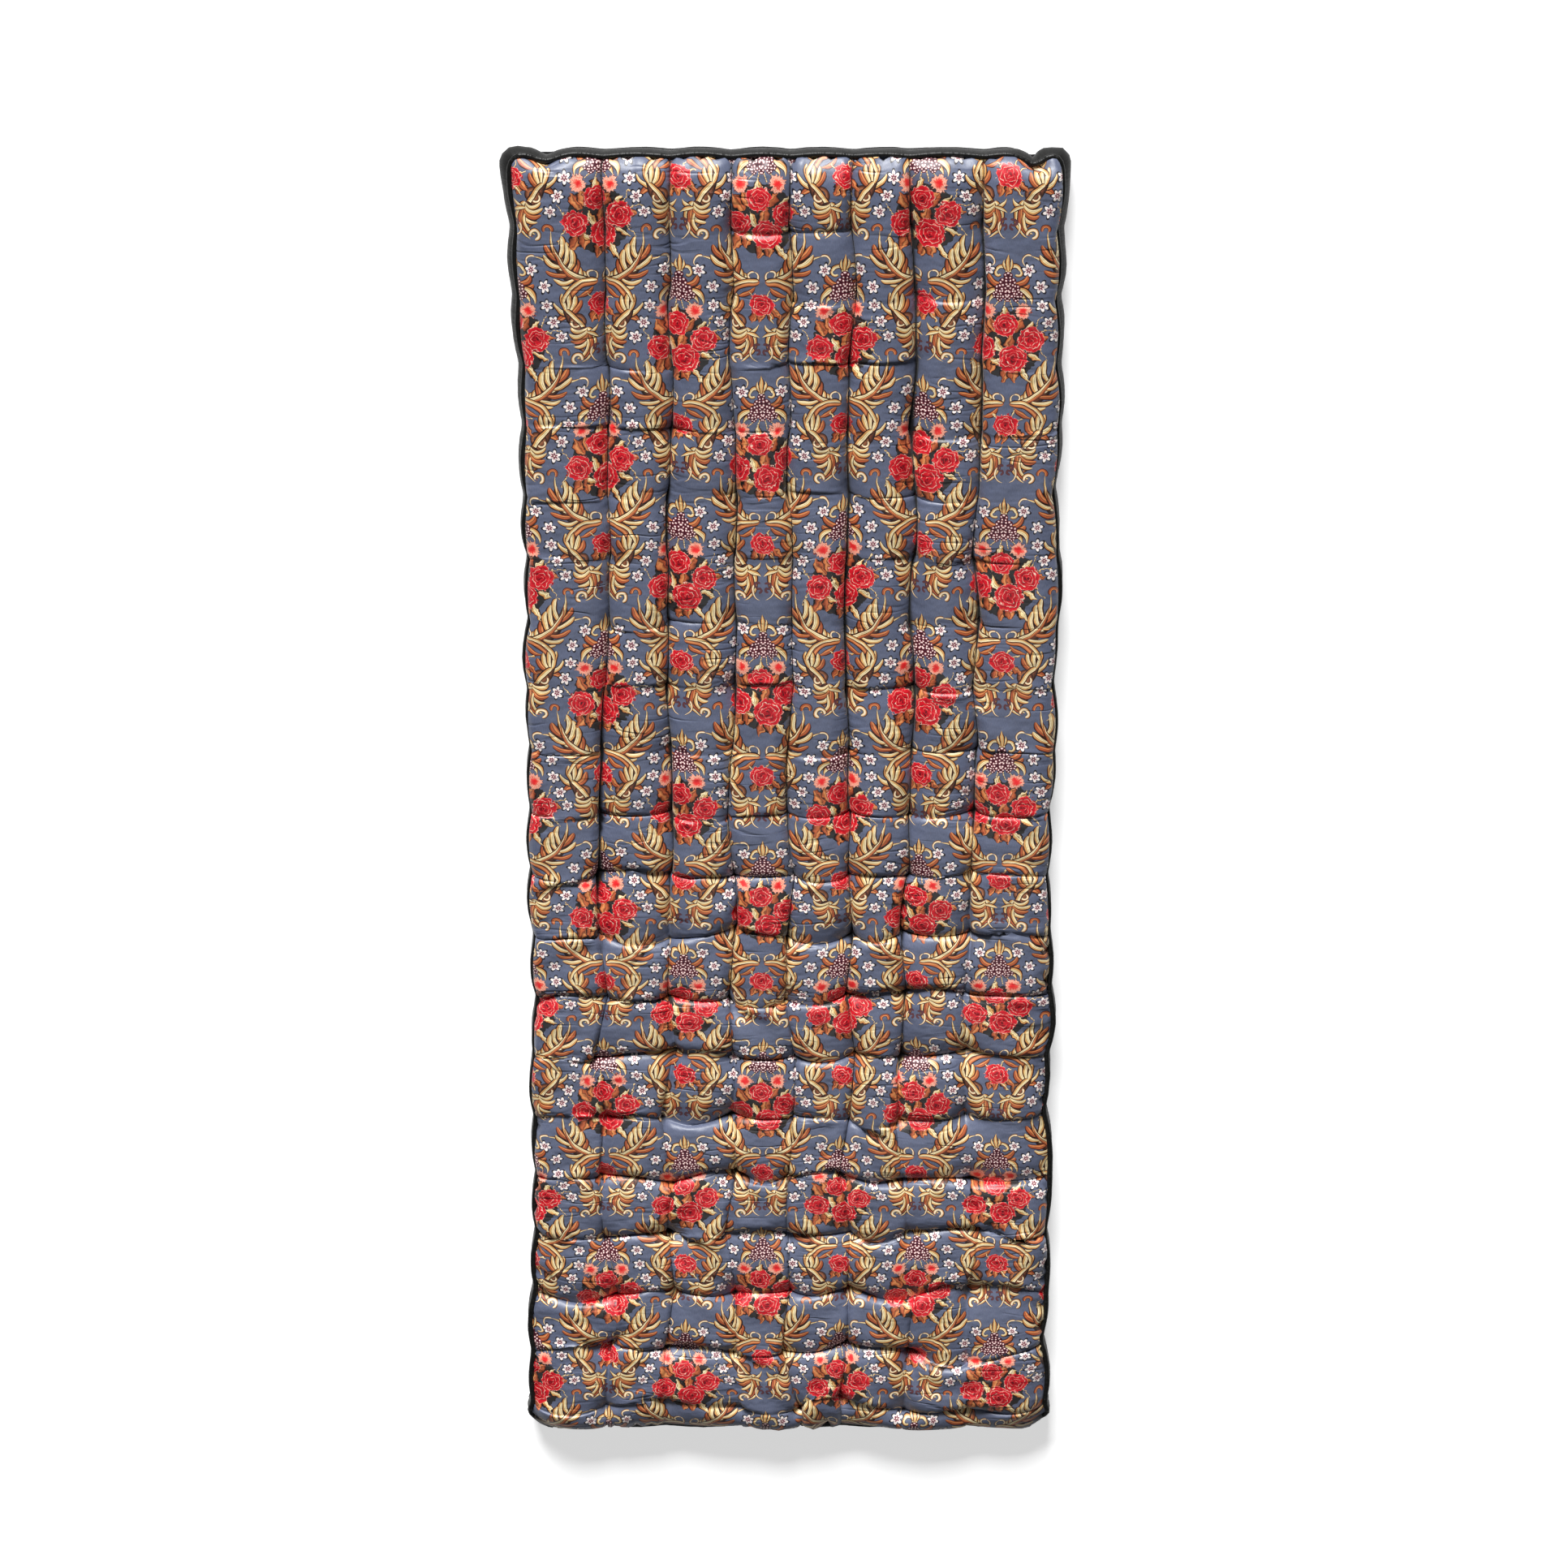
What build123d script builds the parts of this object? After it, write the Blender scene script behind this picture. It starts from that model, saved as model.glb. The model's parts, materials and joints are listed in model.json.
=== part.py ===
from build123d import *
import math
import os

# A hand-tufted floor mattress that folds in half, in millimetres.
# The origin is at the middle of the underside. X runs across, +Y to the head end, +Z up.

# Overall sizes, over the piping
LENGTH = 1900.0
WIDTH = 750.0

# Grid of tufts
COLUMN_PITCH = 84.0
ROW_PITCH = 91.5
HEAD_MARGIN = 105.0  # head edge to the first row
SIDE_MARGIN = 100.0  # least distance from the cover's edge to a column
ROW_TO_CORNER = 10.0  # least distance from the last row to the rounded corners

# Heights of the batting's top, from the floor
CROWN_HEIGHT = 71.0  # middle of a puff
ROW_CROWN_HEIGHT = 59.0  # on a tuft row, halfway between two tufts
CREASE_HEIGHT = 52.0  # on a tuft column, halfway between two tufts
TUFT_HEIGHT = 42.0  # at a tuft
SEAM_HEIGHT = 50.0  # at the piped edge
END_CROWN = 4.0  # rise between two columns at the end edges

# Cloth and batting
TOP_CLOTH = 1.6
BACK_CLOTH = 1.6
BORDER_CLOTH = 1.6
LOWER_BATTING = 13.0
CORE_BATTING = 15.0
LAYER_GAP = 0.4  # between two layers that lie on each other

# Edges
PIPING_DIAMETER = 9.0
PIPING_LIFT = 0.3  # of the back piping off the floor
CORNER_RADIUS = 34.0
SIDE_BULGE = 6.5  # of the border, halfway between two rows
ROW_BULGE = 3.0  # of the border, where a row of stitches draws it in
ROW_DRAW = 4.0  # how far a row draws the side in
WAIST_DRAW = 9.0  # how far the sides draw in between the corners

# Fold
FOLD_GAP = 0.8  # between the two halves
FOLD_RISE = 1.0  # of the fold's axis above the highest cloth

# Tuft ties
TWINE_DIAMETER = 2.4
TWINE_CLEARANCE = 0.6  # all round, in the flat layers
STITCH_LENGTH = 9.0
STITCH_RISE = 2.8  # of the stitch's middle above the cloth in the dimple
KNOT_DIAMETER = 9.0
KNOT_THICKNESS = 1.1
KNOT_CLEARANCE = 0.4  # all round, in the back cover
KNOT_LIFT = 0.2  # off the floor

# Sections to a puff and to a rounded corner
PUFF_STEPS = 4
CORNER_STEPS = 5

# Worked-out places
EDGE_INSET = PIPING_DIAMETER + LAYER_GAP  # from the overall size to the cover's edge
COVER_HALF_WIDTH = WIDTH / 2 - EDGE_INSET
COVER_END = LENGTH / 2 - EDGE_INSET
CORNER_X = COVER_HALF_WIDTH - CORNER_RADIUS
CORNER_Y = COVER_END - CORNER_RADIUS
LOWER_BASE = BACK_CLOTH + LAYER_GAP
CORE_BASE = LOWER_BASE + LOWER_BATTING + LAYER_GAP
UPPER_BASE = CORE_BASE + CORE_BATTING + LAYER_GAP
TOP_PIPING_HEIGHT = SEAM_HEIGHT + LAYER_GAP + TOP_CLOTH / 2
BACK_PIPING_HEIGHT = PIPING_LIFT + PIPING_DIAMETER / 2
BORDER_BASE = BACK_PIPING_HEIGHT + PIPING_DIAMETER / 2 + LAYER_GAP
BORDER_TOP = TOP_PIPING_HEIGHT - PIPING_DIAMETER / 2 - LAYER_GAP
CLOTH_TOP = LAYER_GAP + TOP_CLOTH  # from the batting to the top cloth's face
STITCH_HEIGHT = TUFT_HEIGHT + CLOTH_TOP + STITCH_RISE
FIRST_ROW = LENGTH / 2 - HEAD_MARGIN
ROWS = 1 + int((FIRST_ROW + CORNER_Y - ROW_TO_CORNER) // ROW_PITCH)
COLUMNS = 1 + int(2 * (COVER_HALF_WIDTH - SIDE_MARGIN) // COLUMN_PITCH)
HEAD_ROWS = ROWS // 2
FOLD_PLACE = FIRST_ROW - (HEAD_ROWS - 0.5) * ROW_PITCH
FOLD_HEIGHT = CROWN_HEIGHT + CLOTH_TOP + FOLD_RISE
COLUMN_PLACES = [(i - (COLUMNS - 1) / 2) * COLUMN_PITCH for i in range(COLUMNS)]

HALVES = {"head": 1, "foot": -1}


def row_places(half):
    """Rows of one half, from the fold outwards."""
    rows = [FIRST_ROW - i * ROW_PITCH for i in range(ROWS)]
    if half == "head":
        return rows[:HEAD_ROWS][::-1]
    return rows[HEAD_ROWS:]


def tuft_spots(half):
    return [(x, y) for y in row_places(half) for x in COLUMN_PLACES]


def between(start, end, share):
    return start + (end - start) * share


class Station:
    """One cross-section: its place along Y, half width, the border's bulge and the top's heights."""

    def __init__(self, y, half_width, bulge, crease, crown):
        self.y = y
        self.half_width = half_width
        self.bulge = bulge
        self.crease = crease
        self.crown = crown


def side_place(y, puffed):
    """Half width at y. The sides draw in at the waist, and at each row, where puffed is 0."""
    waist = WAIST_DRAW * (1 - (y / CORNER_Y) ** 2)
    return COVER_HALF_WIDTH - waist - ROW_DRAW * (1 - puffed)


def puff_stations(half):
    """Sections from the fold, which runs along the middle of a puff, to the last row."""
    side = HALVES[half]
    steps = PUFF_STEPS * len(row_places(half)) - PUFF_STEPS // 2
    stations = []
    for step in range(steps + 1):
        puffed = (1 + math.cos(2 * math.pi * step / PUFF_STEPS)) / 2
        from_fold = max(step * ROW_PITCH / PUFF_STEPS, FOLD_GAP / 2)
        y = FOLD_PLACE + side * from_fold
        bulge = between(ROW_BULGE, SIDE_BULGE, puffed)
        crease = between(TUFT_HEIGHT, CREASE_HEIGHT, puffed)
        crown = between(ROW_CROWN_HEIGHT, CROWN_HEIGHT, puffed)
        stations.append(Station(y, side_place(y, puffed), bulge, crease, crown))
    return stations


def end_station(half, out, half_width):
    """A section past the last row, where the top rises once more and comes down to the end seam."""
    last_row = row_places(half)[-1]
    share = (out - abs(last_row)) / (COVER_END - abs(last_row))
    swell = 4 * share * (1 - share)
    crease_line = between(TUFT_HEIGHT, SEAM_HEIGHT, share)
    crease_rise = CREASE_HEIGHT - (TUFT_HEIGHT + SEAM_HEIGHT) / 2
    crown_line = between(ROW_CROWN_HEIGHT, SEAM_HEIGHT + END_CROWN, share)
    crown_rise = CROWN_HEIGHT - (ROW_CROWN_HEIGHT + SEAM_HEIGHT + END_CROWN) / 2
    crease = crease_line + crease_rise * swell
    crown = crown_line + crown_rise * swell
    return Station(HALVES[half] * out, half_width, ROW_BULGE, crease, crown)


def end_stations(half):
    """Sections from the last row to the end edge, with the rounded corners."""
    last_row = abs(row_places(half)[-1])
    stations = []
    out = last_row + ROW_PITCH / PUFF_STEPS
    while out < CORNER_Y - ROW_TO_CORNER / 2:
        share = (out - last_row) / (CORNER_Y - last_row)
        stations.append(end_station(half, out, side_place(out, share)))
        out += ROW_PITCH / PUFF_STEPS
    for turn in corner_turns():
        out = CORNER_Y + CORNER_RADIUS * math.sin(turn)
        stations.append(end_station(half, out, CORNER_X + CORNER_RADIUS * math.cos(turn)))
    return stations


def corner_turns():
    return [math.pi / 2 * step / CORNER_STEPS for step in range(CORNER_STEPS + 1)]


def crown_arcs(station, rise):
    """Arcs from tuft column to tuft column, left to right, lifted by rise."""
    ends = [(-station.half_width, SEAM_HEIGHT)]
    ends += [(x, station.crease) for x in COLUMN_PLACES]
    ends.append((station.half_width, SEAM_HEIGHT))
    arcs = []
    for (x0, z0), (x1, z1) in zip(ends, ends[1:]):
        start = (x0, station.y, z0 + rise)
        middle = ((x0 + x1) / 2, station.y, station.crown + rise)
        finish = (x1, station.y, z1 + rise)
        arcs.append(ThreePointArc(start, middle, finish))
    return arcs


def upper_section(station):
    arcs = crown_arcs(station, 0)
    low_left = (-station.half_width, station.y, UPPER_BASE)
    low_right = (station.half_width, station.y, UPPER_BASE)
    right = Line(arcs[-1] @ 1, low_right)
    base = Line(low_right, low_left)
    left = Line(low_left, arcs[0] @ 0)
    return Wire(arcs + [right, base, left])


def top_section(station):
    outer = crown_arcs(station, CLOTH_TOP)
    inner = crown_arcs(station, LAYER_GAP)
    left = Line(inner[0] @ 0, outer[0] @ 0)
    right = Line(outer[-1] @ 1, inner[-1] @ 1)
    return Wire([left] + outer + [right] + inner[::-1])


def puffed_layer(half, section):
    """The top cover or the batting under it, through all sections of a half."""
    stations = puff_stations(half) + end_stations(half)
    return Solid.make_loft([section(station) for station in stations], ruled=True)


def flat_layer(half, base, thickness, hole, spread):
    """A flat layer with a hole at each tuft. It follows the border's bulge by the share spread."""
    stations = puff_stations(half) + end_stations(half)
    right = [(s.half_width + spread * s.bulge, s.y, base) for s in stations]
    left = [(-x, y, z) for x, y, z in right]
    outline = Wire.make_polygon(right + left[::-1])
    holes = [Pos(x, y, base) * Wire.make_circle(hole / 2) for x, y in tuft_spots(half)]
    return Solid.extrude(Face(outline, holes), Vector(0, 0, thickness))


def bulge_share(height):
    """How much of its bulge the border has at a height, as a parabola from seam to seam."""
    middle = (SEAM_HEIGHT + LOWER_BASE) / 2
    return 1 - ((height - middle) / (SEAM_HEIGHT - middle)) ** 2


class EdgeSpot:
    """A spot on the cover's edge: its place, the outward direction there and the border's bulge."""

    def __init__(self, x, y, outward, bulge):
        self.x = x
        self.y = y
        self.outward = outward
        self.bulge = bulge

    def point(self, out, height):
        return (self.x + self.outward[0] * out, self.y + self.outward[1] * out, height)


def side_spots(half, side):
    """Edge spots along one long side and round its corner, from the fold to the end."""
    stations = puff_stations(half) + end_stations(half)[: -CORNER_STEPS - 1]
    spots = [EdgeSpot(side * s.half_width, s.y, (side, 0), s.bulge) for s in stations]
    for turn in corner_turns():
        outward = (side * math.cos(turn), HALVES[half] * math.sin(turn))
        x = side * CORNER_X + outward[0] * CORNER_RADIUS
        y = HALVES[half] * CORNER_Y + outward[1] * CORNER_RADIUS
        spots.append(EdgeSpot(x, y, outward, ROW_BULGE))
    return spots


def end_spots(half):
    """Edge spots along one end, from left to right, drawn in at each tuft column."""
    places = [-CORNER_X + LAYER_GAP]
    for column in COLUMN_PLACES:
        places += [column - COLUMN_PITCH / 2, column]
    places += [COLUMN_PLACES[-1] + COLUMN_PITCH / 2, CORNER_X - LAYER_GAP]
    outward = (0, HALVES[half])
    y = HALVES[half] * COVER_END
    spots = []
    for number, x in enumerate(places):
        free = number % 2 == 1
        spots.append(EdgeSpot(x, y, outward, SIDE_BULGE if free else ROW_BULGE))
    return spots


def border_section(spot):
    """The border strip across, from just over the back piping to just under the top piping."""
    heights = (BORDER_BASE, (BORDER_BASE + BORDER_TOP) / 2, BORDER_TOP)
    faces = []
    for out in (LAYER_GAP, LAYER_GAP + BORDER_CLOTH):
        points = [spot.point(out + spot.bulge * bulge_share(z), z) for z in heights]
        faces.append(ThreePointArc(*points))
    inner, outer = faces
    return Wire([inner, Line(inner @ 1, outer @ 1), outer, Line(outer @ 0, inner @ 0)])


def border(spots):
    return Solid.make_loft([border_section(spot) for spot in spots], ruled=True)


def piping_section(spot, height):
    """A round cord as three arcs, lying just outside the cover's edge."""
    radius = PIPING_DIAMETER / 2

    def rim(degrees):
        turn = math.radians(degrees)
        out = LAYER_GAP + radius + radius * math.cos(turn)
        return spot.point(out, height + radius * math.sin(turn))

    return Wire([ThreePointArc(rim(a), rim(a + 60), rim(a + 120)) for a in (0, 120, 240)])


def piping(half, height):
    """One cord round three sides of a half, from fold to fold."""
    spots = side_spots(half, -1) + end_spots(half)[1:-1] + side_spots(half, 1)[::-1]
    return Solid.make_loft([piping_section(spot, height) for spot in spots], ruled=True)


def tuft_tie():
    """One tie: a flat knot at the back, the twine, and the stitch in the dimple."""
    upright = (Align.CENTER, Align.CENTER, Align.MIN)
    knot = Pos(0, 0, KNOT_LIFT) * Cylinder(KNOT_DIAMETER / 2, KNOT_THICKNESS, align=upright)
    twine = Pos(0, 0, KNOT_LIFT) * Cylinder(TWINE_DIAMETER / 2, STITCH_HEIGHT - KNOT_LIFT, align=upright)
    stitch = Pos(0, 0, STITCH_HEIGHT) * Rot(X=90) * Cylinder(TWINE_DIAMETER / 2, STITCH_LENGTH)
    return (knot + twine + stitch).solid()


def tuft_ties(half):
    tie = tuft_tie()
    return Compound([Pos(x, y, 0) * tie for x, y in tuft_spots(half)])


def half_parts(half):
    """The named pieces of one half."""
    twine_hole = TWINE_DIAMETER + 2 * TWINE_CLEARANCE
    knot_hole = KNOT_DIAMETER + 2 * KNOT_CLEARANCE
    core_spread = min(bulge_share(CORE_BASE), bulge_share(CORE_BASE + CORE_BATTING))
    return {
        "top_cover": puffed_layer(half, top_section),
        "upper_batting": puffed_layer(half, upper_section),
        "core_batting": flat_layer(half, CORE_BASE, CORE_BATTING, twine_hole, core_spread),
        "lower_batting": flat_layer(half, LOWER_BASE, LOWER_BATTING, twine_hole, 0),
        "back_cover": flat_layer(half, 0, BACK_CLOTH, knot_hole, 0),
        "left_border": border(side_spots(half, -1)),
        "right_border": border(side_spots(half, 1)),
        "end_border": border(end_spots(half)),
        "top_piping": piping(half, TOP_PIPING_HEIGHT),
        "back_piping": piping(half, BACK_PIPING_HEIGHT),
        "tuft_ties": tuft_ties(half),
    }


os.makedirs("parts", exist_ok=True)
for half in HALVES:
    for name, shape in half_parts(half).items():
        export_step(shape, f"parts/{half}_{name}.step")
print(f"{COLUMNS} columns and {ROWS} rows of tufts, fold at y {FOLD_PLACE:.2f}, z {FOLD_HEIGHT:.2f}")
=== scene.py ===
import json
import math

import bpy
import numpy as np
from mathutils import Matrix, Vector


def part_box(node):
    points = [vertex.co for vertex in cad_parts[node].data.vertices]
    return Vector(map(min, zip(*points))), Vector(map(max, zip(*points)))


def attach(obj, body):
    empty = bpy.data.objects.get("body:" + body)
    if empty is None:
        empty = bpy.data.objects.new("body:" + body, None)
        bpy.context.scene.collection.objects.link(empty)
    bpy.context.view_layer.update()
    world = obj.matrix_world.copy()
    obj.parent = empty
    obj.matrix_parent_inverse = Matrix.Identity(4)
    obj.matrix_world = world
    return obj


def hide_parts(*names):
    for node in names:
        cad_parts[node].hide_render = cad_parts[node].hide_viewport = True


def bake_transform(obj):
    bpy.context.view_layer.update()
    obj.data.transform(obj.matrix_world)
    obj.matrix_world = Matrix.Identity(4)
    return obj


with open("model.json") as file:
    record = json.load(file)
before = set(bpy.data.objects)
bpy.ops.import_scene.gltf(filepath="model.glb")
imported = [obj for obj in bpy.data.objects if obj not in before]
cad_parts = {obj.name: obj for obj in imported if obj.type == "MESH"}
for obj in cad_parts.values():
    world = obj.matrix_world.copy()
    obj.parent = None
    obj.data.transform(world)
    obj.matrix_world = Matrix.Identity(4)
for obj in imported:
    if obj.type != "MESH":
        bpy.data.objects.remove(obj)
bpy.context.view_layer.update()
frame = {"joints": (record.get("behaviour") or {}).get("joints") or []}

SEED = 7
HEAD, FOOT = "head_half", "foot_half"
WHOLE_TURN = 2.0 * math.pi

# The tuft grid, the seams and the fold, as the solids have them (metres)
COLUMNS, ROWS = 7, 20
KNOT_RADIUS = 0.0045
TIES_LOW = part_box("foot_tuft_ties")[0]
TIES_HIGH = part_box("head_tuft_ties")[1]
COLUMN_PLACES = np.linspace(TIES_LOW.x + KNOT_RADIUS, TIES_HIGH.x - KNOT_RADIUS, COLUMNS)
ROW_PLACES = np.linspace(TIES_HIGH.y - KNOT_RADIUS, TIES_LOW.y + KNOT_RADIUS, ROWS)
COVER_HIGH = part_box("head_top_cover")[1]
COVER_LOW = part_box("foot_top_cover")[0]
TOP_LIMIT = COVER_HIGH.z
PIPING_RADIUS = 0.0044
TOP_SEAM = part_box("head_top_piping")[1].z - PIPING_RADIUS
BACK_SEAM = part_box("head_back_piping")[0].z + PIPING_RADIUS
END_BORDER_HALF = -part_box("head_end_border")[0].x
FOLD_Y = frame["joints"][0]["pos_m"][1]

# How the tufts stray from a drawn grid (metres); a pair is the head's value and what the lower half adds
TUFT_HEIGHT = (0.037, 0.006)
HEIGHT_STRAY = (0.0012, 0.0050)
HEIGHT_LIMITS = (-0.009, 0.011)
WANDER = 0.0035
LOOSE_WANDER = 1.5
SWAY, SWAY_TURN, SWAY_STEP = 0.003, 9.0, 2.1
HEAD_DRIFT = (0.009, 0.010, 0.012, 0.003, 0.000, 0.001, 0.007)
FOOT_DRIFT = (-0.004, -0.002, 0.005, 0.000, -0.005, -0.005, -0.002)
ROW_DRIFT = 0.012
ROW_BOW = 0.008
BOW_LIMIT = 1.8 * ROW_BOW

# How the seams stray from a drawn rectangle (metres); an ear is a place, depth and width of a dip beside it
LEFT_WAIST, RIGHT_WAIST = 0.014, 0.007
NOTCH, NOTCH_STRAY, EDGE_STRAY = 0.0045, 0.0015, 0.003
END_NOTCH = 0.0035
HEAD_UNDERCUT = 0.0055
FOOT_TUCK, FOOT_DROP, FOOT_CORNER = 0.006, 0.012, 0.034
HEAD_CORNER = 0.013
HEAD_ROLL, ROLL_RANGE = 0.006, (0.25, 0.85)
EARS = ((-0.318, 0.012, 0.020), (0.322, 0.017, 0.019))
HEAD_END = COVER_HIGH.y - 0.0075
FOOT_END = COVER_LOW.y + FOOT_TUCK

# Cloth put into each cell beyond the straight distance between its tufts
SLACK_ACROSS = 0.44
SLACK_SIDES, SLACK_RIGHT = 0.55 * SLACK_ACROSS, 0.85 * SLACK_ACROSS
SLACK_LOWER = 0.795
SLACK_HEAD, SLACK_FOOT, SLACK_RANGE = 0.008, 0.165, (0.30, 0.68)
SLACK_ENDS = (0.04, 0.10)
EASE_WIDE, EASE_FINE = (0.012, 0.022), (0.006, 0.038)

# How the cloth is filled and held; a hold is the share of the way home at each step
PRESSURE = (0.0013, -0.0005)
CROWN_ROOM, CROWN_SOFTNESS = 0.0012, 0.005
COLUMN_HOLD, ROW_HOLD, HEAD_FOLD_HOLD = (0.55, -0.52), 0.028, 0.05
COLUMN_RISE, ROW_RISE = (0.004, 0.014), 0.018
FIRST_PUFF, FIRST_NOISE = 0.026, 0.0006
WALL_GAP, SEAM_ROOM = 0.0004, 0.0035
COLUMN_SWAY, CREASED_SHARE = 0.0022, 0.55

# How much closer the grid lines lie near the tufts
TOP_PINCH, BACK_PINCH = 0.72, 0.55

# How much of the print's place comes from where the cloth lies, rather than from the flat cut
PRINT_LAID = 0.8

# Painted shade in the creases: the depth below the crowns at which the print's colour starts to be darkened,
# and the depth over which it darkens (metres)
PAINTED_SHADE_START, PAINTED_SHADE_DEPTH = 0.003, 0.030

# Border and piping: spacing of points along the seam, overlap of the strips, bulge at the corners (metres)
SEAM_SPACING, STRIP_OVERLAP = 0.006, 0.004
CORNER_BULGE, CORNER_REACH = 0.005, 0.028
FLOOR_GAP = 0.0004


def smooth_step(value, low, high):
    """Rises from 0 at low to 1 at high."""
    part = np.clip((value - low) / (high - low), 0.0, 1.0)
    return part * part * (3.0 - 2.0 * part)


def lower_share(count):
    """How far the plump lower half has taken over, from 0 at the head to 1 at the foot."""
    return smooth_step(np.linspace(0.0, 1.0, count), 0.35, 0.75)


def cell_lines(cells, segments, pinch):
    """Grid lines as cell numbers and fractions of a cell, closer together near the tufts."""
    steps = np.arange(segments) / segments
    inside = steps - pinch / WHOLE_TURN * np.sin(WHOLE_TURN * steps)
    cell = np.append(np.repeat(np.arange(cells), segments), cells - 1)
    return cell, np.append(np.tile(inside, cells), 1.0)


def side_edge(y, side):
    """Half the cover's width at y, drawn in towards the middle of the length."""
    waist = LEFT_WAIST if side < 0 else RIGHT_WAIST
    return COVER_HIGH.x - waist * (1.0 - (y / COVER_HIGH.y) ** 2) - HEAD_ROLL * smooth_step(y, *ROLL_RANGE)


def ear_dip(x):
    """How far the head seam dips beside each corner, so that the corner stands up as an ear."""
    return sum(depth * np.exp(-(((x - place) / width) ** 2)) for place, depth, width in EARS)


def tuft_grid():
    """Places of the tufts, with the seams as the first and last lines of the grid."""
    chance = np.random.default_rng(SEED)
    places = np.zeros((COLUMNS + 2, ROWS + 2, 3))
    tufts = places[1:-1, 1:-1]
    down = np.linspace(0.0, 1.0, ROWS)
    row_y = ROW_PLACES - ROW_DRIFT * (1.0 - down ** 2)
    for column in range(COLUMNS):
        drift = HEAD_DRIFT[column] * (1.0 - down) + FOOT_DRIFT[column] * down
        sway = SWAY * np.sin(down * SWAY_TURN + column * SWAY_STEP)
        tufts[column, :, 0] = COLUMN_PLACES[column] + drift + sway
    tufts[..., 1] = row_y
    loose = lower_share(ROWS)[None, :]
    tufts[..., :2] += chance.normal(0.0, WANDER, (COLUMNS, ROWS, 2)) * (1.0 + LOOSE_WANDER * loose[..., None])
    tufts[..., 2] = TUFT_HEIGHT[0] + TUFT_HEIGHT[1] * loose
    uneven = chance.normal(0.0, HEIGHT_STRAY[0] + HEIGHT_STRAY[1] * loose, (COLUMNS, ROWS))
    tufts[..., 2] += uneven.clip(*HEIGHT_LIMITS)
    for line, side in ((0, -1.0), (COLUMNS + 1, 1.0)):
        y = row_y + chance.normal(0.0, EDGE_STRAY, ROWS)
        notch = NOTCH + chance.normal(0.0, NOTCH_STRAY, ROWS)
        places[line, 1:-1, 0] = side * (side_edge(y, side) - notch)
        places[line, 1:-1, 1] = y
        places[line, 0, :2] = side * (COVER_HIGH.x - HEAD_ROLL), HEAD_END
        places[line, -1, :2] = side * COVER_HIGH.x, FOOT_END
        places[line, :, 2] = TOP_SEAM
        places[line, -1, 2] = TOP_SEAM - FOOT_DROP
    for line, beside, y_end, height in ((0, 1, HEAD_END, TOP_SEAM), (-1, -2, FOOT_END, TOP_SEAM - FOOT_DROP)):
        places[1:-1, line, 0] = places[1:-1, beside, 0]
        places[1:-1, line, 1] = y_end - np.sign(y_end) * END_NOTCH
        places[1:-1, line, 2] = height
    return places


def round_corner(points, corner, radius):
    """Draws one square corner of a grid in to an arc."""
    x_sign, y_sign = np.sign(corner[0]), np.sign(corner[1])
    across = 1.0 - np.clip((corner[0] - points[..., 0]) * x_sign / radius, 0.0, 1.0)
    along = 1.0 - np.clip((corner[1] - points[..., 1]) * y_sign / radius, 0.0, 1.0)
    inside = (across > 0.0) & (along > 0.0)
    new_across = across * np.sqrt(1.0 - along ** 2 / 2.0)
    new_along = along * np.sqrt(1.0 - across ** 2 / 2.0)
    points[..., 0] += np.where(inside, x_sign * radius * (new_across - across), 0.0)
    points[..., 1] += np.where(inside, y_sign * radius * (new_along - along), 0.0)


def lay_grid(places, segments, pinch):
    """Grid points spread between the tufts, with the seams bulging between them."""
    cell_i, part_i = cell_lines(COLUMNS + 1, segments, pinch)
    cell_j, part_j = cell_lines(ROWS + 1, segments, pinch)
    a, b = cell_i[:, None], cell_j[None, :]
    s, t = part_i[:, None], part_j[None, :]
    points = 0.0
    for down, along in ((0, 1 - t), (1, t)):
        for over, across in ((0, 1 - s), (1, s)):
            points = points + places[a + over, b + down] * across[..., None] * along[..., None]
    left = np.where(a == 0, 1 - s, 0.0)
    right = np.where(a == COLUMNS, s, 0.0)
    top = np.where(b == 0, 1 - t, 0.0)
    bottom = np.where(b == ROWS, t, 0.0)
    points[..., 0] += NOTCH * np.sin(math.pi * t) * (right - left)
    points[..., 1] += END_NOTCH * np.sin(math.pi * s) * (top - bottom) - ear_dip(points[..., 0]) * top
    for x_sign in (-1.0, 1.0):
        round_corner(points, (x_sign * (COVER_HIGH.x - HEAD_ROLL), HEAD_END), HEAD_CORNER)
        round_corner(points, (x_sign * COVER_HIGH.x, FOOT_END), FOOT_CORNER)
    return points, (cell_i, part_i), (cell_j, part_j)


def cloth_lines(edges, lines, slack):
    """Where each grid line lies on the flat cloth, from the cells' widths and their slack."""
    cell, part = lines
    widths = np.abs(np.diff(edges)) * (1.0 + slack)
    starts = np.concatenate(([0.0], np.cumsum(widths)))
    return starts[cell] + part * widths[cell]


def flat_cloth(lines_i, lines_j):
    """The flat place of every line across and along the top cover."""
    edges_u = np.concatenate(([-COVER_HIGH.x], COLUMN_PLACES, [COVER_HIGH.x]))
    edges_v = np.concatenate(([COVER_HIGH.y], ROW_PLACES, [COVER_LOW.y]))
    slack_u = np.full(COLUMNS + 1, SLACK_ACROSS)
    slack_u[[0, -1]] = SLACK_SIDES
    slack_u[-3:-1] = SLACK_RIGHT
    slack_v = SLACK_HEAD + (SLACK_FOOT - SLACK_HEAD) * smooth_step(np.arange(ROWS + 1) / ROWS, *SLACK_RANGE)
    slack_v[[0, -1]] = SLACK_ENDS
    return cloth_lines(edges_u, lines_i, slack_u), cloth_lines(edges_v, lines_j, slack_v)


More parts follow.
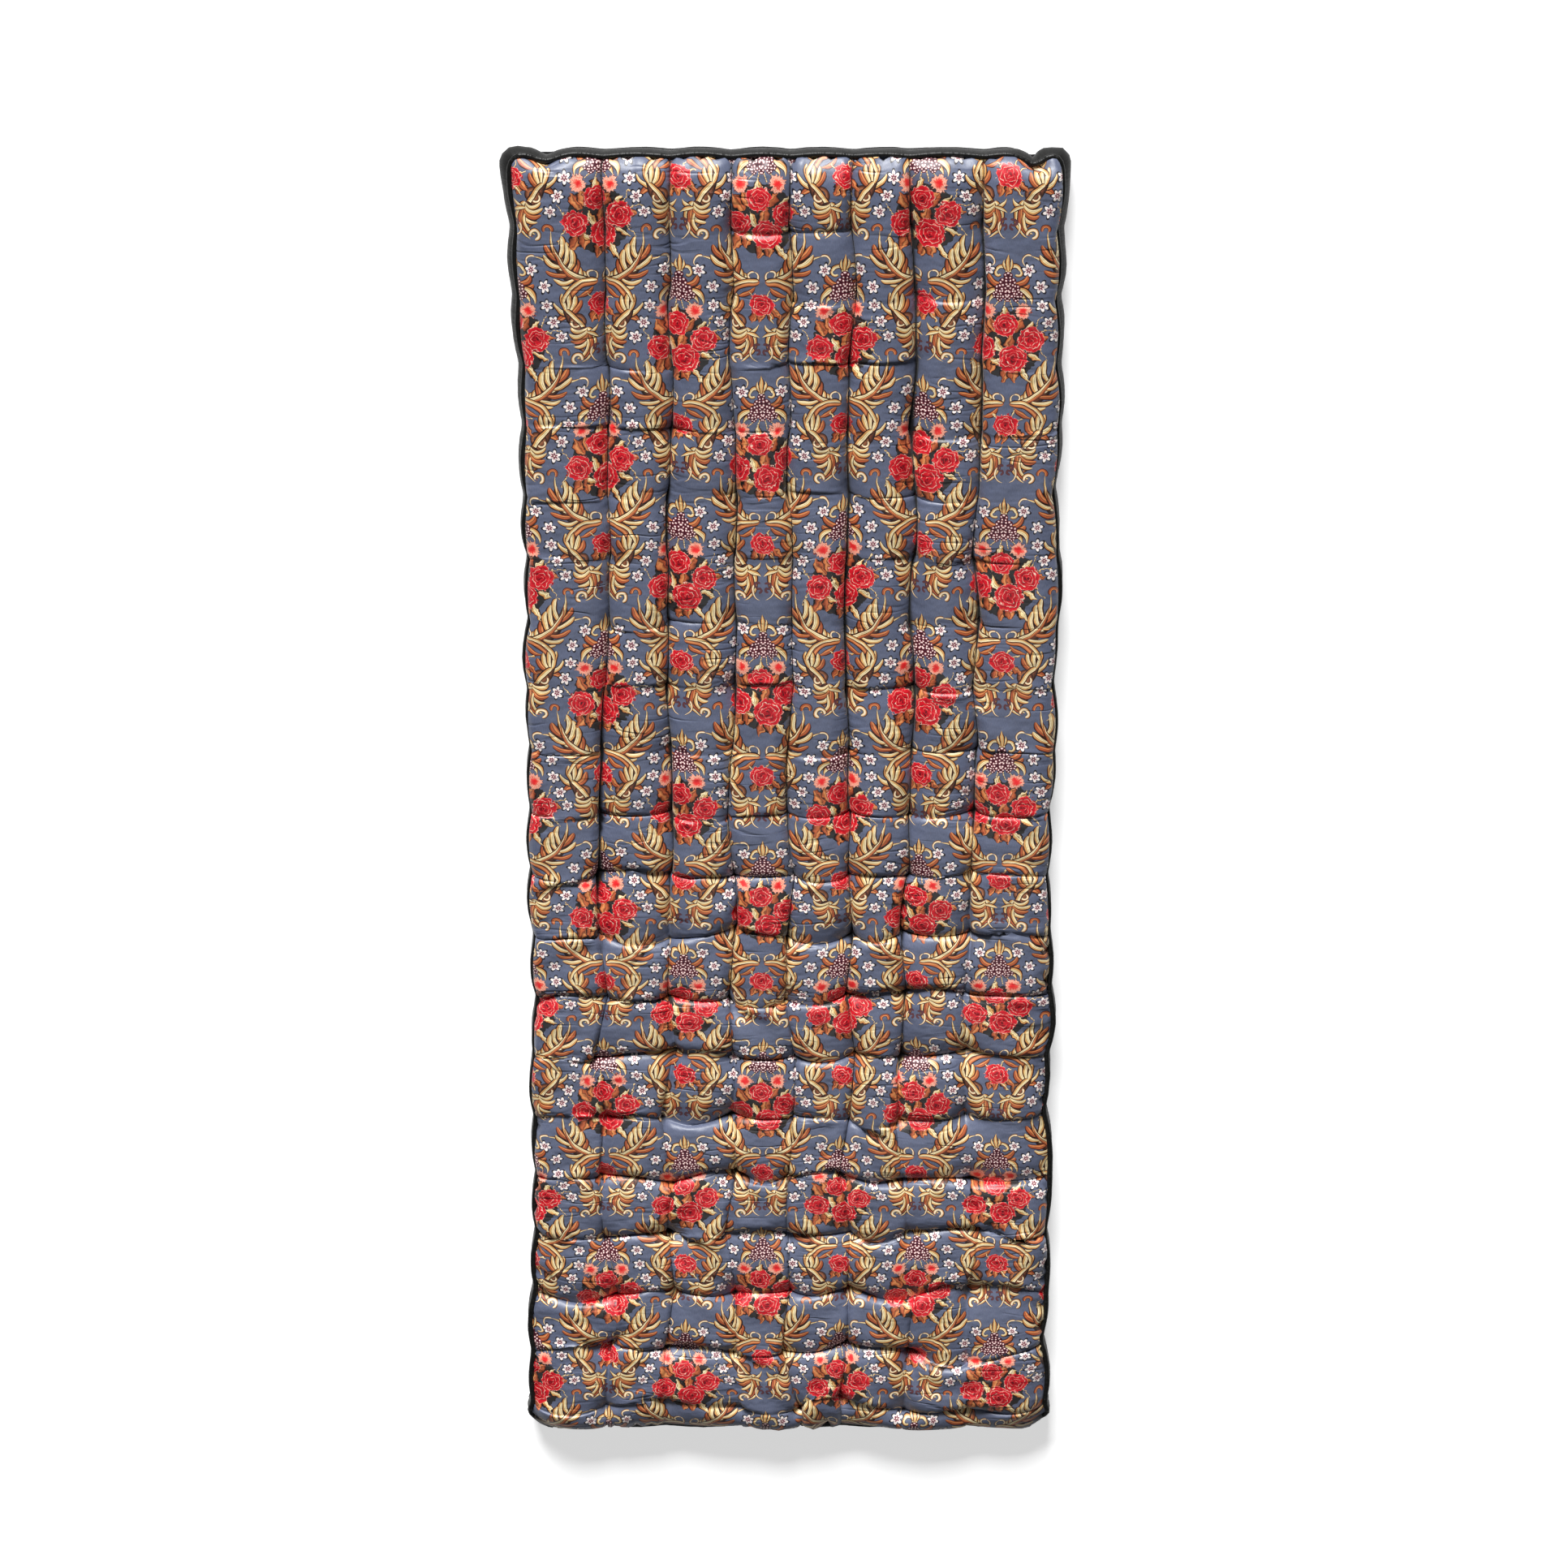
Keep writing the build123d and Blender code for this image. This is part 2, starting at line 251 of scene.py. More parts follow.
def parity_pairs(shape, step_i, step_j):
    """Slices that pair every grid point with a neighbour, so that no point is in a set twice."""
    pairs = []
    stride = 2 * max(step_i, abs(step_j))
    for start in range(stride):
        if step_i:
            first = np.arange(start, shape[0] - step_i, stride)
            low = np.arange(max(0, -step_j), shape[1] - max(0, step_j))
            pairs.append((np.ix_(first, low), np.ix_(first + step_i, low + step_j)))
        else:
            first = np.arange(start, shape[1] - step_j, stride)
            every = np.arange(shape[0])
            pairs.append((np.ix_(every, first), np.ix_(every, first + step_j)))
    return pairs


def soft_field(shape, smoothing, chance):
    """Smooth random numbers over a grid, about -1 to 1."""
    field = chance.normal(0.0, 1.0, shape)
    for repeat in range(smoothing):
        for axis in (0, 1):
            field = (np.roll(field, 1, axis) + 2.0 * field + np.roll(field, -1, axis)) / 4.0
    return np.clip(field / field.std(), -2.0, 2.0)


def row_bows(lines_i, lines_j):
    """How far each crease between two tufts bows up or down, over the whole grid."""
    chance = np.random.default_rng(SEED + 9)
    bow = chance.normal(0.0, ROW_BOW, (COLUMNS + 1, ROWS + 2)).clip(-BOW_LIMIT, BOW_LIMIT)
    bow *= 0.4 + 0.6 * lower_share(ROWS + 2)
    bow[:, [0, -1]] = 0.0
    cell_i, part_i = lines_i
    cell_j, part_j = lines_j
    spread = bow[cell_i][:, cell_j] * (1.0 - part_j) + bow[cell_i][:, cell_j + 1] * part_j
    return spread * np.sin(math.pi * part_i)[:, None]


def cloth_links(u, v, segments):
    """Links of a cloth grid: along both threads, across both diagonals, and over two steps for stiffness.

    A link over two steps that spans a line of tufts is left slack, so that the cloth can crease there.
    """
    shape = (len(u), len(v))
    chance = np.random.default_rng(SEED + 2)
    loose = lower_share(shape[1])[None, :]
    ease = 1.0 + (EASE_WIDE[0] + EASE_WIDE[1] * loose) * soft_field(shape, 24, chance)
    ease = ease + (EASE_FINE[0] + EASE_FINE[1] * loose) * soft_field(shape, 7, chance)
    place_u, place_v = np.meshgrid(u - u.mean(), v, indexing="ij")
    place_u = place_u * (1.0 - (1.0 - SLACK_LOWER) * loose)
    creased = np.nonzero(loose[0] < 0.5)[0][-1]
    thread, slant, bend = (1.0, 0.75), (0.35, 0.20), (0.0, 0.10)
    kinds = ((1, 0, thread), (0, 1, thread), (1, 1, slant), (1, -1, slant), (2, 0, bend), (0, 2, bend))
    links = []
    for step_i, step_j, stiffness in kinds:
        for one, two in parity_pairs(shape, step_i, step_j):
            rest = np.hypot(place_u[two] - place_u[one], place_v[two] - place_v[one]) * ease[one]
            if step_i == 2:
                rest[(one[0].ravel() + 1) % segments == 0, :creased] = 0.0
            if step_j == 2:
                rest[:, (one[1].ravel() + 1) % segments == 0] = 0.0
            links.append((one, two, rest, *stiffness))
    return links


def grid_normals(points):
    """Unit normals of a grid, pointing up."""
    normals = np.cross(np.gradient(points, axis=1), np.gradient(points, axis=0))
    return normals / np.linalg.norm(normals, axis=-1, keepdims=True)


def settle(points, links, home, hold, walls, pressure, rounds, sweeps=2):
    """Fills a cloth from below until its threads are taut.

    Hold says how firmly each point is kept at home, and walls how far it may lean over the next cell.
    """
    held = hold > 0.0
    firm = hold[held][:, None]
    limit = TOP_LIMIT - CROWN_ROOM
    for turn in range(rounds):
        room = np.clip((limit - points[..., 2]) / CROWN_SOFTNESS, -0.6, 1.0)
        easing = 0.1 + 0.9 * (1.0 - turn / rounds) ** 1.2
        points += grid_normals(points) * (pressure * easing * room)[..., None]
        for sweep in range(sweeps):
            for one, two, rest, stretch, squeeze in links:
                gap = points[two] - points[one]
                length = np.sqrt(np.einsum("ijk,ijk->ij", gap, gap)) + 1e-9
                excess = (length - rest) / length
                share = np.where(excess > 0.0, stretch, squeeze) * excess * 0.5
                move = gap * share[..., None]
                points[one] += move
                points[two] -= move
            points[held] += firm * (home[held] - points[held])
            np.clip(points[..., :2], *walls, out=points[..., :2])
    np.minimum(points[..., 2], TOP_LIMIT, out=points[..., 2])


def cell_walls(home, lines_i, lines_j, segments):
    """How far each point may go before it meets the neighbouring cell's cloth."""
    before_i, before_j = lines_i[0] * segments, lines_j[0] * segments
    low, high = np.empty((2,) + home.shape[:2] + (2,))
    low[..., 0] = home[before_i, :, 0] + WALL_GAP
    high[..., 0] = home[before_i + segments, :, 0] - WALL_GAP
    low[..., 1] = home[:, before_j + segments, 1] + WALL_GAP
    high[..., 1] = home[:, before_j, 1] - WALL_GAP
    low[:segments, :, 0] -= SEAM_ROOM
    high[-segments:, :, 0] += SEAM_ROOM
    high[:, :segments, 1] += SEAM_ROOM
    low[:, -segments:, 1] -= SEAM_ROOM + FOOT_TUCK
    for wall, anywhere in ((low, -1.0), (high, 1.0)):
        wall[::segments, :, 0] = anywhere
        wall[:, ::segments, 1] = anywhere
    return low, high


def set_rim(field, value):
    """Gives the outermost points of a grid one value."""
    field[[0, -1]] = value
    field[:, [0, -1]] = value


def grid_quads(count_i, count_j):
    """The numbers of a grid's points, and its faces."""
    number = np.arange(count_i * count_j).reshape(count_i, count_j)
    corners = (number[:-1, :-1], number[:-1, 1:], number[1:, 1:], number[1:, :-1])
    return number, np.stack([corner.ravel() for corner in corners], axis=1)


def add_object(name, data):
    """An object in the scene."""
    thing = bpy.data.objects.new(name, data)
    bpy.context.scene.collection.objects.link(thing)
    return thing


def mesh_object(name, points, faces):
    """A smooth mesh object in the scene."""
    mesh = bpy.data.meshes.new(name)
    mesh.from_pydata(np.asarray(points).reshape(-1, 3).tolist(), [], np.asarray(faces).tolist())
    mesh.polygons.foreach_set("use_smooth", np.ones(len(mesh.polygons), bool))
    mesh.update()
    return add_object(name, mesh)


def put_map(thing, u, v):
    """A texture map in metres, from a value of each kind for every point."""
    mesh = thing.data
    index = np.zeros(len(mesh.loops), np.int32)
    mesh.loops.foreach_get("vertex_index", index)
    flat = np.stack([np.ravel(u)[index], np.ravel(v)[index]], axis=1)
    mesh.uv_layers.new(name="cloth").data.foreach_set("uv", flat.astype(np.float32).ravel())


def grid_object(name, points, u, v, faces_up=True):
    """A mesh object from a grid of points, with u and v as its texture map."""
    quads = grid_quads(*points.shape[:2])[1]
    thing = mesh_object(name, points, quads if faces_up else quads[:, ::-1])
    put_map(thing, *np.broadcast_arrays(u, v))
    return thing


def refine(thing, levels):
    """Subdivides a mesh for good and drops the modifier."""
    modifier = thing.modifiers.new("refine", "SUBSURF")
    modifier.levels = modifier.render_levels = levels
    graph = bpy.context.evaluated_depsgraph_get()
    mesh = bpy.data.meshes.new_from_object(thing.evaluated_get(graph))
    thing.modifiers.clear()
    old = thing.data
    thing.data = mesh
    bpy.data.meshes.remove(old)
    mesh.name = thing.name
    return thing


def tube_parts(path, radii, outward, sides, closed):
    """Points and faces of a round cord along a path; outward is the cross-section's first axis."""
    tangent = np.gradient(path, axis=0)
    if closed:
        tangent = np.roll(path, -1, axis=0) - np.roll(path, 1, axis=0)
    tangent /= np.linalg.norm(tangent, axis=1, keepdims=True)
    second = np.cross(tangent, outward)
    second /= np.linalg.norm(second, axis=1, keepdims=True)
    first = np.cross(second, tangent)
    turn = np.arange(sides) * WHOLE_TURN / sides
    ring = np.cos(turn)[None, :, None] * first[:, None] + np.sin(turn)[None, :, None] * second[:, None]
    points = path[:, None] + ring * radii[:, None, None]
    number = np.arange(len(path) * sides).reshape(len(path), sides)
    after = np.roll(number, -1, axis=0)
    corners = (after, np.roll(after, -1, axis=1), np.roll(number, -1, axis=1), number)
    rows = slice(None) if closed else slice(None, -1)
    return points.reshape(-1, 3), np.stack([corner[rows].ravel() for corner in corners], axis=1)


def tuft_hold(shape, segments, loose, sway):
    """How firmly each point of the top is kept at home: fast at tufts and seams, weaker between."""
    hold = np.zeros(shape)
    inner = slice(segments, -segments, segments)
    near = np.clip(sway, -1.0, 1.0)
    hold[inner, :] = (COLUMN_HOLD[0] + COLUMN_HOLD[1] * loose) * (0.8 + 0.2 * near[inner])
    hold[:, inner] = np.maximum(hold[:, inner], ROW_HOLD * loose[:, inner] * (0.6 + 0.6 * near[:, inner]))
    hold[3 * segments:5 * segments, segments] = HEAD_FOLD_HOLD
    hold[::segments, ::segments] = 1.0
    set_rim(hold, 1.0)
    return hold


def print_map(points, home, u, v, lines_j, segments):
    """Where the print lies: mostly by the cloth's own place, and by the flat cut towards both ends."""
    across = PRINT_LAID * points[..., 0] + (1.0 - PRINT_LAID) * (u - (u[0] + u[-1]) / 2.0)[:, None]
    row_lines = home[:, ::segments, 1].mean(axis=0)
    laid = np.interp(-points[..., 1], -row_lines, v[::segments])
    at = lines_j[0] + lines_j[1]
    inside = PRINT_LAID * np.minimum(1.0, np.minimum(at, ROWS + 1 - at))[None, :]
    return across, inside * laid + (1.0 - inside) * v[None, :]


def make_top_cover(places):
    """The printed top, drawn down at every tuft and filled from below."""
    segments, rounds = ((14, 140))
    points, lines_i, lines_j = lay_grid(places, segments, TOP_PINCH)
    u, v = flat_cloth(lines_i, lines_j)
    chance = np.random.default_rng(SEED + 1)
    shape = points.shape[:2]
    wave_i = np.sin(math.pi * lines_i[1])[:, None]
    wave_j = np.sin(math.pi * lines_j[1])[None, :]
    loose = lower_share(shape[1])[None, :]
    sway = soft_field(shape, 30, chance)
    points[..., 1] += row_bows(lines_i, lines_j)
    home = points.copy()
    rise = COLUMN_RISE[0] + COLUMN_RISE[1] * loose
    home[..., 2] += wave_j * rise * (1.0 + 0.3 * sway) + wave_i * ROW_RISE
    home[..., 0] += COLUMN_SWAY * sway
    home[[0, -1], :, 2] = points[[0, -1], :, 2]
    home[:, [0, -1], 2] = points[:, [0, -1], 2]
    points[..., 2] += FIRST_PUFF * wave_i ** 0.6 * (0.7 + 0.3 * wave_j)
    points[..., 2] += chance.normal(0.0, FIRST_NOISE, shape)
    hold = tuft_hold(shape, segments, loose, sway)
    walls = cell_walls(home, lines_i, lines_j, segments)
    settle(points, cloth_links(u, v, segments), home, hold, walls, PRESSURE[0] + PRESSURE[1] * loose, rounds)
    thing = grid_object("top_cover", points, *print_map(points, home, u, v, lines_j, segments))
    # Painted shade: how deep each point lies in a crease, kept as the 'sunk' value that darkens the print's
    # colour there
    sunk = np.clip((TOP_LIMIT - PAINTED_SHADE_START - points[..., 2]) / PAINTED_SHADE_DEPTH, 0.0, 1.0)
    set_rim(sunk, 0.0)
    depth = thing.data.attributes.new("sunk", "FLOAT", "POINT")
    depth.data.foreach_set("value", sunk.astype(np.float32).ravel())
    crease_columns(thing, shape, segments)
    edge = np.concatenate((points[0, :], points[1:, -1], points[-1, -2::-1], points[-2:0:-1, 0]))
    return thing, points, edge, (u[-1] - u[0], v[-1] - v[0])


def crease_columns(thing, shape, segments):
    """Keeps the shading of neighbouring rolls apart along the upper lines of tufts."""
    mesh = thing.data
    ends = np.zeros(len(mesh.edges) * 2, np.int32)
    mesh.edges.foreach_get("vertices", ends)
    column, row = np.divmod(ends.reshape(-1, 2), shape[1])
    first = column[:, 0]
    along = (first == column[:, 1]) & (first % segments == 0) & (first > 0) & (first < shape[0] - 1)
    mesh.edges.foreach_set("use_edge_sharp", along & (row[:, 0] < CREASED_SHARE * shape[1]))


def even_loop(edge, spacing):
    """A closed loop with points at an even spacing, its outward directions and the run along it."""
    closed = np.vstack((edge, edge[:1]))
    run = np.concatenate(([0.0], np.cumsum(np.linalg.norm(np.diff(closed, axis=0), axis=1))))
    count = int(run[-1] / spacing)
    at = np.linspace(0.0, run[-1], count, endpoint=False)
    loop = np.stack([np.interp(at, run, closed[:, axis]) for axis in range(3)], axis=1)
    loop = (np.roll(loop, 1, axis=0) + 2.0 * loop + np.roll(loop, -1, axis=0)) / 4.0
    tangent = np.roll(loop, -1, axis=0) - np.roll(loop, 1, axis=0)
    outward = np.stack([tangent[:, 1], -tangent[:, 0], np.zeros(count)], axis=1)
    outward /= np.linalg.norm(outward, axis=1, keepdims=True)
    if np.sum(outward * loop) < 0.0:
        outward = -outward
    return loop, outward, at


def slow_noise(at, period, size, chance, waves):
    """A smooth closed wave along a loop, from a few sines."""
    total = np.zeros_like(at)
    length = at[-1] + at[1]
    for wave in range(waves):
        turns = max(1, round(length / period * chance.uniform(0.6, 1.7)))
        height = chance.uniform(0.4, 1.0)
        total += height * np.sin(WHOLE_TURN * turns * at / length + chance.uniform(0.0, 6.28))
    return size * total / math.sqrt(waves)


def back_loop(loop, outward):
    """The seam at the back, which lies a little further in along the head end."""
    lower = loop.copy()
    lower[:, 1] -= HEAD_UNDERCUT * np.clip(outward[:, 1], 0.0, 1.0)
    lower[:, 2] = BACK_SEAM
    return lower


def head_roll(loop, outward):
    """How much further the border bulges: along the sides towards the head, most at the corners."""
    sideways = np.abs(outward[:, 0]) * HEAD_ROLL * smooth_step(loop[:, 1], *ROLL_RANGE)
    near = np.hypot(np.abs(loop[:, 0]) - COVER_HIGH.x, loop[:, 1] - HEAD_END)
    return sideways + CORNER_BULGE * np.exp(-(near / CORNER_REACH) ** 2)


def make_piping(name, loop, outward, at):
    """A cord of border cloth along a seam, tucked under at the foot end."""
    sides, girth, reach, foot_reach = 12, 0.028, 0.0032, 0.006
    chance = np.random.default_rng(SEED + len(name))
    out = reach - foot_reach * np.clip(-outward[:, 1], 0.0, 1.0)
    path = loop + outward * (out + slow_noise(at, 0.11, 0.0004, chance, 5))[:, None]
    path[:, 2] += slow_noise(at, 0.15, 0.0004, chance, 5)
    radii = PIPING_RADIUS - 0.0005 + slow_noise(at, 0.03, 0.0002, chance, 6)
    points, quads = tube_parts(path, radii, outward, sides, True)
    points[:, 2] = np.maximum(points[:, 2], FLOOR_GAP)
    thing = mesh_object(name, points, quads)
    put_map(thing, np.repeat(at, sides), np.tile(np.arange(sides) / sides * girth, len(at)))
    return thing


def make_border(name, loop, outward, at, chosen):
    """A strip of border cloth between the two seams, bulging and a little gathered."""
    start, bulge, ease_across, ease_along = 0.0028, 0.0052, 1.03, 1.02
    chance = np.random.default_rng(SEED + len(name) * 3)
    across = np.linspace(0.0, 1.0, 11)
    bow = 1.0 - (2.0 * across - 1.0) ** 2
    puff = bulge + slow_noise(at, 0.09, 0.0007, chance, 6) + head_roll(loop, outward)
    fold = slow_noise(at, 0.016, 0.00035, chance, 9) + slow_noise(at, 0.035, 0.0003, chance, 7)
    lean = np.abs(2.0 * across - 1.0)
    out = start + puff[:, None] * bow + fold[:, None] * (0.4 + 0.6 * lean) * np.minimum(1.0, 4.0 * bow)
    share = across[None, :, None]
    lower = back_loop(loop, outward)
    points = loop[:, None] * share + lower[:, None] * (1.0 - share) + outward[:, None] * out[..., None]
    strip = points[chosen]
    run = np.arange(len(chosen)) * at[1]
    width = np.mean(np.sum(np.linalg.norm(np.diff(strip, axis=1), axis=2), axis=1))
    height = BACK_SEAM + (TOP_SEAM - BACK_SEAM) * across
    thing = grid_object(name, strip, run[:, None], height[None, :])
    return thing, (width * ease_across, run[-1] * ease_along)


def make_back_cover(places):
    """The plain back: flat on the floor, drawn up at every tie and along the lines between."""
    cell_wide, cell_long, ease = 0.084, 0.0915, 1.01
    dimple_height, dimple_reach = 0.0062, 0.011
    crease_height, crease_reach, crease_limit = 0.0022, 0.006, 0.003
    lift, beside_rim = 0.0006, 0.45
    points, lines_i, lines_j = lay_grid(places, 6, BACK_PINCH)
    part_i = np.minimum(lines_i[1], 1.0 - lines_i[1])[:, None] * cell_wide
    part_j = np.minimum(lines_j[1], 1.0 - lines_j[1])[None, :] * cell_long
    dimple = dimple_height * np.exp(-(np.hypot(part_i, part_j) / dimple_reach) ** 2)
    crease = crease_height * (np.exp(-(part_i / crease_reach) ** 2) + np.exp(-(part_j / crease_reach) ** 2))
    height = lift + np.maximum(dimple, np.minimum(crease, crease_limit))
    rim = np.zeros(points.shape[:2])
    set_rim(rim[1:-1, 1:-1], beside_rim)
    set_rim(rim, 1.0)
    points[..., 2] = np.maximum(height, rim * BACK_SEAM)
    u = points[:, points.shape[1] // 2, 0]
    v = -points[points.shape[0] // 2, :, 1]
    thing = grid_object("back_cover", points, u[:, None], v[None, :], faces_up=False)
    return refine(thing, 1), (2.0 * COVER_HIGH.x * ease, (COVER_HIGH.y - COVER_LOW.y) * ease)


def make_fill(points):
    """The cotton inside, a closed form that keeps just under the covers."""
    reach, under, floor = 4, 0.004, 0.0085
    sunk = points[..., 2].copy()
    for step in range(reach):
        for axis in (0, 1):
            sunk = np.minimum(sunk, np.minimum(np.roll(sunk, 1, axis), np.roll(sunk, -1, axis)))
    inner = slice(reach, -reach, reach)
    top = points[inner, inner].copy()
    top[..., 2] = sunk[inner, inner] - under
    low = top.copy()
    low[..., 2] = floor
    number, quads = grid_quads(*top.shape[:2])
    total = number.size
    rim = np.concatenate((number[:, 0], number[-1, 1:], number[-2::-1, -1], number[0, -2:0:-1]))
    after = np.roll(rim, -1)
    walls = np.stack([rim, after, after + total, rim + total], axis=1)
    faces = np.concatenate((quads, quads[:, ::-1] + total, walls))
    return mesh_object("cotton_fill", np.stack((top, low)), faces)


def make_stitches(name, tufts):
    """Two strands of waxed thread across each tuft, and a flat knot on the back."""
    half_length, strand_radius, strand_space, arch, sink = 0.0046, 0.0010, 0.0008, 0.0022, 0.0012
    knot_ring, knot_radius, knot_height, surface = 0.003, 0.0011, 0.0052, 0.0015
    chance = np.random.default_rng(SEED + len(name) * 5)
    steps = np.linspace(-1.0, 1.0, 9)
    turn = np.linspace(0.0, WHOLE_TURN, 12, endpoint=False)
    upward = np.tile((0.0, 0.0, 1.0), (len(steps), 1))
    away = np.stack([np.cos(turn), np.sin(turn), np.zeros(len(turn))], axis=1)
    wave = np.stack([0.0 * turn, 0.0 * turn, 0.0003 * np.sin(3.0 * turn)], axis=1)
    tubes = []
    for x, y, z in tufts:
        heading = math.pi / 2.0 + chance.normal(0.0, 0.35)
        ahead = np.array([math.cos(heading), math.sin(heading), 0.0])
        aside = np.array([-math.sin(heading), math.cos(heading), 0.0])
        for strand in (-1.0, 1.0):
            half = half_length + chance.normal(0.0, 0.0006)
            path = np.array([x, y, z]) + np.outer(steps * half, ahead)
            path = path + np.outer(strand * strand_space * (1.0 - 0.5 * steps ** 2), aside)
            path[:, 2] += surface + arch * (1.0 - steps ** 2) - sink
            radii = strand_radius * np.sqrt(np.clip(1.0 - 0.85 * steps ** 8, 0.05, 1.0))
            tubes.append(tube_parts(path, radii, upward, 7, False))
        knot = knot_ring * away + wave + (x, y, knot_height)
        tubes.append(tube_parts(knot, np.full(len(turn), knot_radius), away, 7, True))
    starts = np.cumsum([0] + [len(points) for points, quads in tubes])
    faces = [quads + start for (points, quads), start in zip(tubes, starts)]
    return mesh_object(name, np.concatenate([points for points, quads in tubes]), np.concatenate(faces))


# The stage: a light is a place, an aim, a size (metres) and a power (watts)
KEY = ((-6.8, 45.2, 23.8), (0.0, -0.1, 0.0), 17.0, 49600.0)
FILL = ((0.0, -0.85, 2.2), (0.0, -0.75, 0.0), 1.6, 5.0)
WORLD_LIGHT = 0.03
WHITE = (1.0, 1.0, 1.0, 1.0)
FLOOR_HALF, FLOOR_COLOUR, FLOOR_GLOW = 30.0, (0.86, 0.86, 0.86, 1.0), 0.55
CAMERA_TILT, CAMERA_DISTANCE = math.radians(20.52), 7.7605
CAMERA_TARGET = Vector((-0.0064, 0.0508, 0.05))
CAMERA_LENS, CAMERA_SENSOR = 130.0, 36.0


def add_camera():
    """A long lens that looks down from above the head end."""
    camera = add_object("camera", bpy.data.cameras.new("camera"))
    camera.data.lens = CAMERA_LENS
    camera.data.sensor_width = CAMERA_SENSOR
    away = Vector((0.0, math.sin(CAMERA_TILT), math.cos(CAMERA_TILT)))
    camera.location = CAMERA_TARGET + away * CAMERA_DISTANCE
    camera.rotation_euler = (-CAMERA_TILT, 0.0, 0.0)
    bpy.context.scene.camera = camera


def add_area_light(name, place, aim, size, power):
    """A square soft light that points at aim."""
    lamp = bpy.data.lights.new(name, "AREA")
    lamp.shape = "SQUARE"
    lamp.size = size
    lamp.energy = power
    thing = add_object(name, lamp)
    thing.location = place
    thing.rotation_euler = (Vector(aim) - Vector(place)).to_track_quat("-Z", "Y").to_euler()
    return thing


def seen_by_camera(tree, gain, base, socket):
    """Feeds a socket with base, and with gain more for what the camera sees straight."""
    path = tree.nodes.new("ShaderNodeLightPath")
    level = tree.nodes.new("ShaderNodeMath")
    level.operation = "MULTIPLY_ADD"
    level.inputs[1].default_value = gain
    level.inputs[2].default_value = base
    tree.links.new(path.outputs["Is Camera Ray"], level.inputs[0])
    tree.links.new(level.outputs[0], socket)


def add_stage():
    """A pale floor, a raking soft light from the head side and a little light from all round."""
    corners = [(x * FLOOR_HALF, y * FLOOR_HALF, 0.0) for x, y in ((-1, -1), (1, -1), (1, 1), (-1, 1))]
    floor = mesh_object("floor", corners, [(0, 1, 2, 3)])
    sheet = Sheet("floor")
    inputs = sheet.shader.inputs
    inputs["Base Color"].default_value = FLOOR_COLOUR
    inputs["Roughness"].default_value = 0.9
    inputs["Specular IOR Level"].default_value = 0.1
    inputs["Emission Color"].default_value = WHITE
    seen_by_camera(sheet.tree, FLOOR_GLOW, 0.0, inputs["Emission Strength"])
    floor.data.materials.append(sheet.material)
    key = add_area_light("key", *KEY)
    fill = add_area_light("fill", *FILL)
    world = bpy.data.worlds.new("studio")
    world.use_nodes = True
    sky = world.node_tree.nodes["Background"]
    sky.inputs["Color"].default_value = WHITE
    seen_by_camera(world.node_tree, 1.0 - WORLD_LIGHT, WORLD_LIGHT, sky.inputs["Strength"])
    bpy.context.scene.world = world


# The print, drawn in centimetres of the laid-out mattress
REPEAT_WIDTH, ROW_DROP = 22.0, 16.0
PRINT_LEFT, PRINT_TOP = -3.67, 7.2
PRINT_WIDE, PRINT_LONG = 93.3, 94.4
PRINT_DRIFT, DRIFT_GRAINS = 0.55, 42.0
ROSE_WARP, WARP_GRAINS = 0.8, 150.0
CREAM, RUST, BROWN, MAROON, PALE = 0.0, 1.0, 2.0, 3.0, 4.0
TONES = 5.0
BARE = -1.0
STROKE_REACH, STROKE_SPREAD = 1.09, 0.45

# Widths of a stroke along its length
NONE = 0.0005
TAPER = ((0.0, NONE), (0.03, 0.6), (0.15, 1.0), (0.5, 0.8), (0.85, 0.4), (1.0, NONE))
LEAF = ((0.0, NONE), (0.04, 0.3), (0.25, 0.85), (0.45, 1.0), (0.8, 0.5), (1.0, NONE))
EVEN = ((0.0, NONE), (0.05, 0.8), (0.15, 1.0), (0.85, 1.0), (0.95, 0.8), (1.0, NONE))
LOBE = ((0.0, NONE), (0.05, 0.55), (0.30, 0.92), (0.62, 1.0), (0.86, 0.72), (0.96, 0.36), (1.0, NONE))
BEADS = (
    (0.0, NONE), (0.1, 1.0), (0.2, 0.25), (0.3, 1.0), (0.4, 0.25), (0.5, 1.0), (0.6, 0.25), (0.7, 0.9),
    (0.8, 0.2), (0.9, 0.7), (1.0, NONE),
)

# Display colours across every tone of stroke, from one edge to the other
OUTLINE = (12, 7, 8)
STROKE_COLOURS = {
    CREAM: (
        (0.11, OUTLINE), (0.17, (160, 92, 48)), (0.22, (252, 234, 178)), (0.32, (255, 246, 208)),
        (0.37, (150, 86, 46)), (0.42, (252, 234, 180)), (0.54, (250, 222, 156)), (0.59, (112, 60, 34)),
        (0.65, (240, 192, 120)), (0.76, (204, 132, 72)), (0.83, (120, 62, 34)), (0.88, OUTLINE),
    ),
    RUST: (
        (0.09, OUTLINE), (0.16, (188, 94, 52)), (0.34, (232, 152, 92)), (0.50, (116, 50, 30)),
        (0.58, (200, 104, 60)), (0.82, (128, 56, 32)), (0.90, OUTLINE),
    ),
    BROWN: ((0.05, OUTLINE), (0.24, (168, 108, 72)), (0.60, (118, 66, 44)), (0.92, OUTLINE)),
    MAROON: ((0.05, (76, 46, 54)), (0.50, (98, 54, 58)), (0.95, (76, 46, 54))),
    PALE: (
        (0.10, OUTLINE), (0.24, (240, 208, 156)), (0.46, (255, 244, 214)), (0.70, (216, 152, 94)),
        (0.90, OUTLINE),
    ),
}
